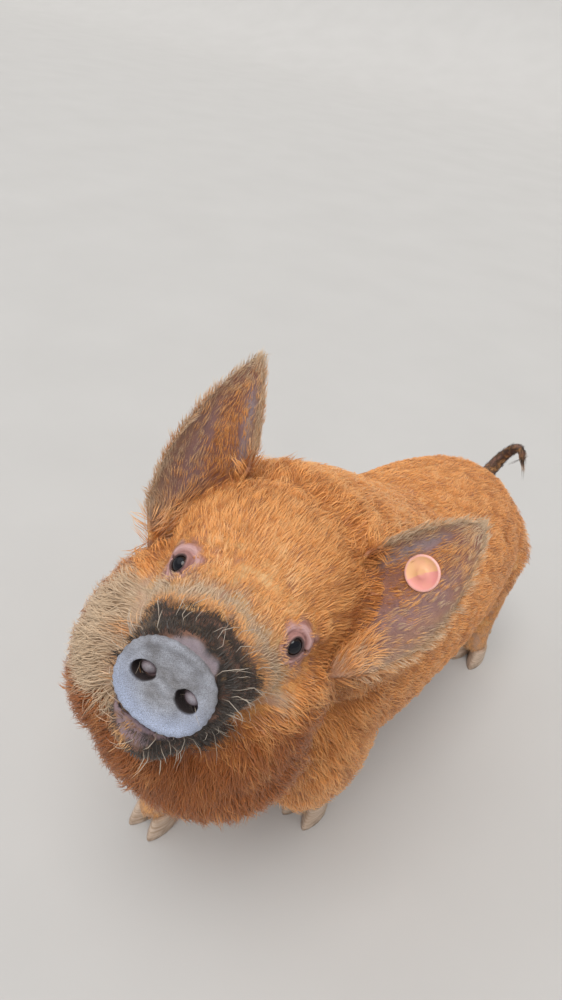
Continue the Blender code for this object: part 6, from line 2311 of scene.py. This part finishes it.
@dataclass(frozen=True)
class Studio:
    """Camera, pale floor and soft light."""

    camera_place: Place = (0.305, -0.754, 0.994)
    forward: Place = (-0.438, 0.685, -0.582)
    above: Place = (-0.442, 0.400, 0.803)
    lens: float = 25.9
    floor_half: float = 40.0

    def build(self) -> None:
        """Set the camera, the floor and the lights, with colours shown as they are."""
        bpy.context.scene.view_settings.view_transform = "Standard"
        self.set_camera()
        self.set_floor()
        self.set_light("key", (0.3, -0.7, 1.9), 40.0, 2.5, (1.0, 0.98, 0.96))
        self.set_light("fill", (-1.2, -0.5, 1.8), 60.0, 0.5, (0.94, 0.97, 1.0))
        world = bpy.data.worlds.new("pale_room")
        world.use_nodes = True
        world.node_tree.nodes["Background"].inputs["Color"].default_value = (0.95, 0.97, 1.0, 1.0)
        world.node_tree.nodes["Background"].inputs["Strength"].default_value = 0.44
        bpy.context.scene.world = world

    def set_camera(self) -> None:
        """Set the camera that gives the photograph's view."""
        camera = bpy.data.cameras.new("camera")
        camera.lens = self.lens
        camera.sensor_width = 36.0
        camera.clip_start = 0.02
        obj = bpy.data.objects.new("camera", camera)
        back = -Vector(self.forward).normalized()
        right = Vector(self.above).cross(back).normalized()
        turn = Matrix((right, back.cross(right), back)).transposed().to_4x4()
        obj.matrix_world = Matrix.Translation(Vector(self.camera_place) + SHIFT) @ turn
        bpy.context.scene.collection.objects.link(obj)
        bpy.context.scene.camera = obj

    def set_floor(self) -> None:
        """Lay the plain pale floor, bent up into a backdrop far behind the pig."""
        half = self.floor_half
        angles = [math.radians(angle) for angle in range(0, 91, 6)]
        bend = [(math.sin(angle), 1 - math.cos(angle)) for angle in angles]
        rows = [(-half, 0.0)] + [(8.0 + 4.0 * along, 4.0 * up) for along, up in bend] + [(12.0, half)]
        corners = [Vector((x, y, z)) for y, z in rows for x in (-half, half)]
        mesh = bpy.data.meshes.new("floor")
        starts = range(0, 2 * (len(rows) - 1), 2)
        mesh.from_pydata(corners, [], [(low, low + 1, low + 3, low + 2) for low in starts])
        mesh.shade_smooth()
        obj = bpy.data.objects.new("floor", mesh)
        bpy.context.scene.collection.objects.link(obj)
        material, nodes, shader = new_material("pale_floor", 0.75)
        cloud = nodes.noise(nodes.place(), 3.0, 4.0)
        nodes.put(shader, "Base Color", nodes.blend(cloud, (0.47, 0.46, 0.445), (0.52, 0.51, 0.495)))
        mesh.materials.append(material)

    def set_light(self, name: str, place: Place, spread: float, power: float, colour: Colour) -> None:
        """Hang one broad, far light.

        Args:
            name: the light's name.
            place: the direction that it comes from.
            spread: how wide it is in the sky, in degrees.
            power: its strength.
            colour: its colour.
        """
        light = bpy.data.lights.new(name, "SUN")
        light.angle = math.radians(spread)
        light.energy = power
        light.color = colour
        obj = bpy.data.objects.new(name, light)
        aim = -Vector(place)
        obj.matrix_world = Matrix.Translation(place) @ aim.to_track_quat("-Z", "Y").to_matrix().to_4x4()
        bpy.context.scene.collection.objects.link(obj)


def report(obj: Object) -> None:
    """Write a piece's name and number of triangles to the log."""
    count = sum(len(face.vertices) - 2 for face in obj.data.polygons)
    LOG.info("%s: %d triangles", obj.name, count)


def main() -> None:
    """Build every piece in order."""
    logging.basicConfig(level=logging.INFO, format="%(name)s: %(message)s")
    Studio().build()
    skin_maker = Skin()
    skin = skin_maker.build()
    skin_maker.dress(skin)
    report(skin)
    tree = CoatTree()
    for patch in COAT:
        piece = patch.build(tree, skin)
        patch.dress(piece)
        report(piece)
    for side in Side:
        report_and_dress(Eye(side))
    for foot in Foot:
        report_and_dress(Hoof(foot))
        report_and_dress(DewClaws(foot))
    report_and_dress(EarTag())
    for tuft in Tuft:
        group = tuft.value.collection()
        for obj in list(group.objects):
            remove(obj)
        bpy.data.collections.remove(group)


def report_and_dress(maker: "Eye | Hoof | DewClaws | EarTag") -> None:
    """Build one piece, dress it and report it."""
    piece = maker.build()
    maker.dress(piece)
    report(piece)


if __name__ == "__main__":
    main()
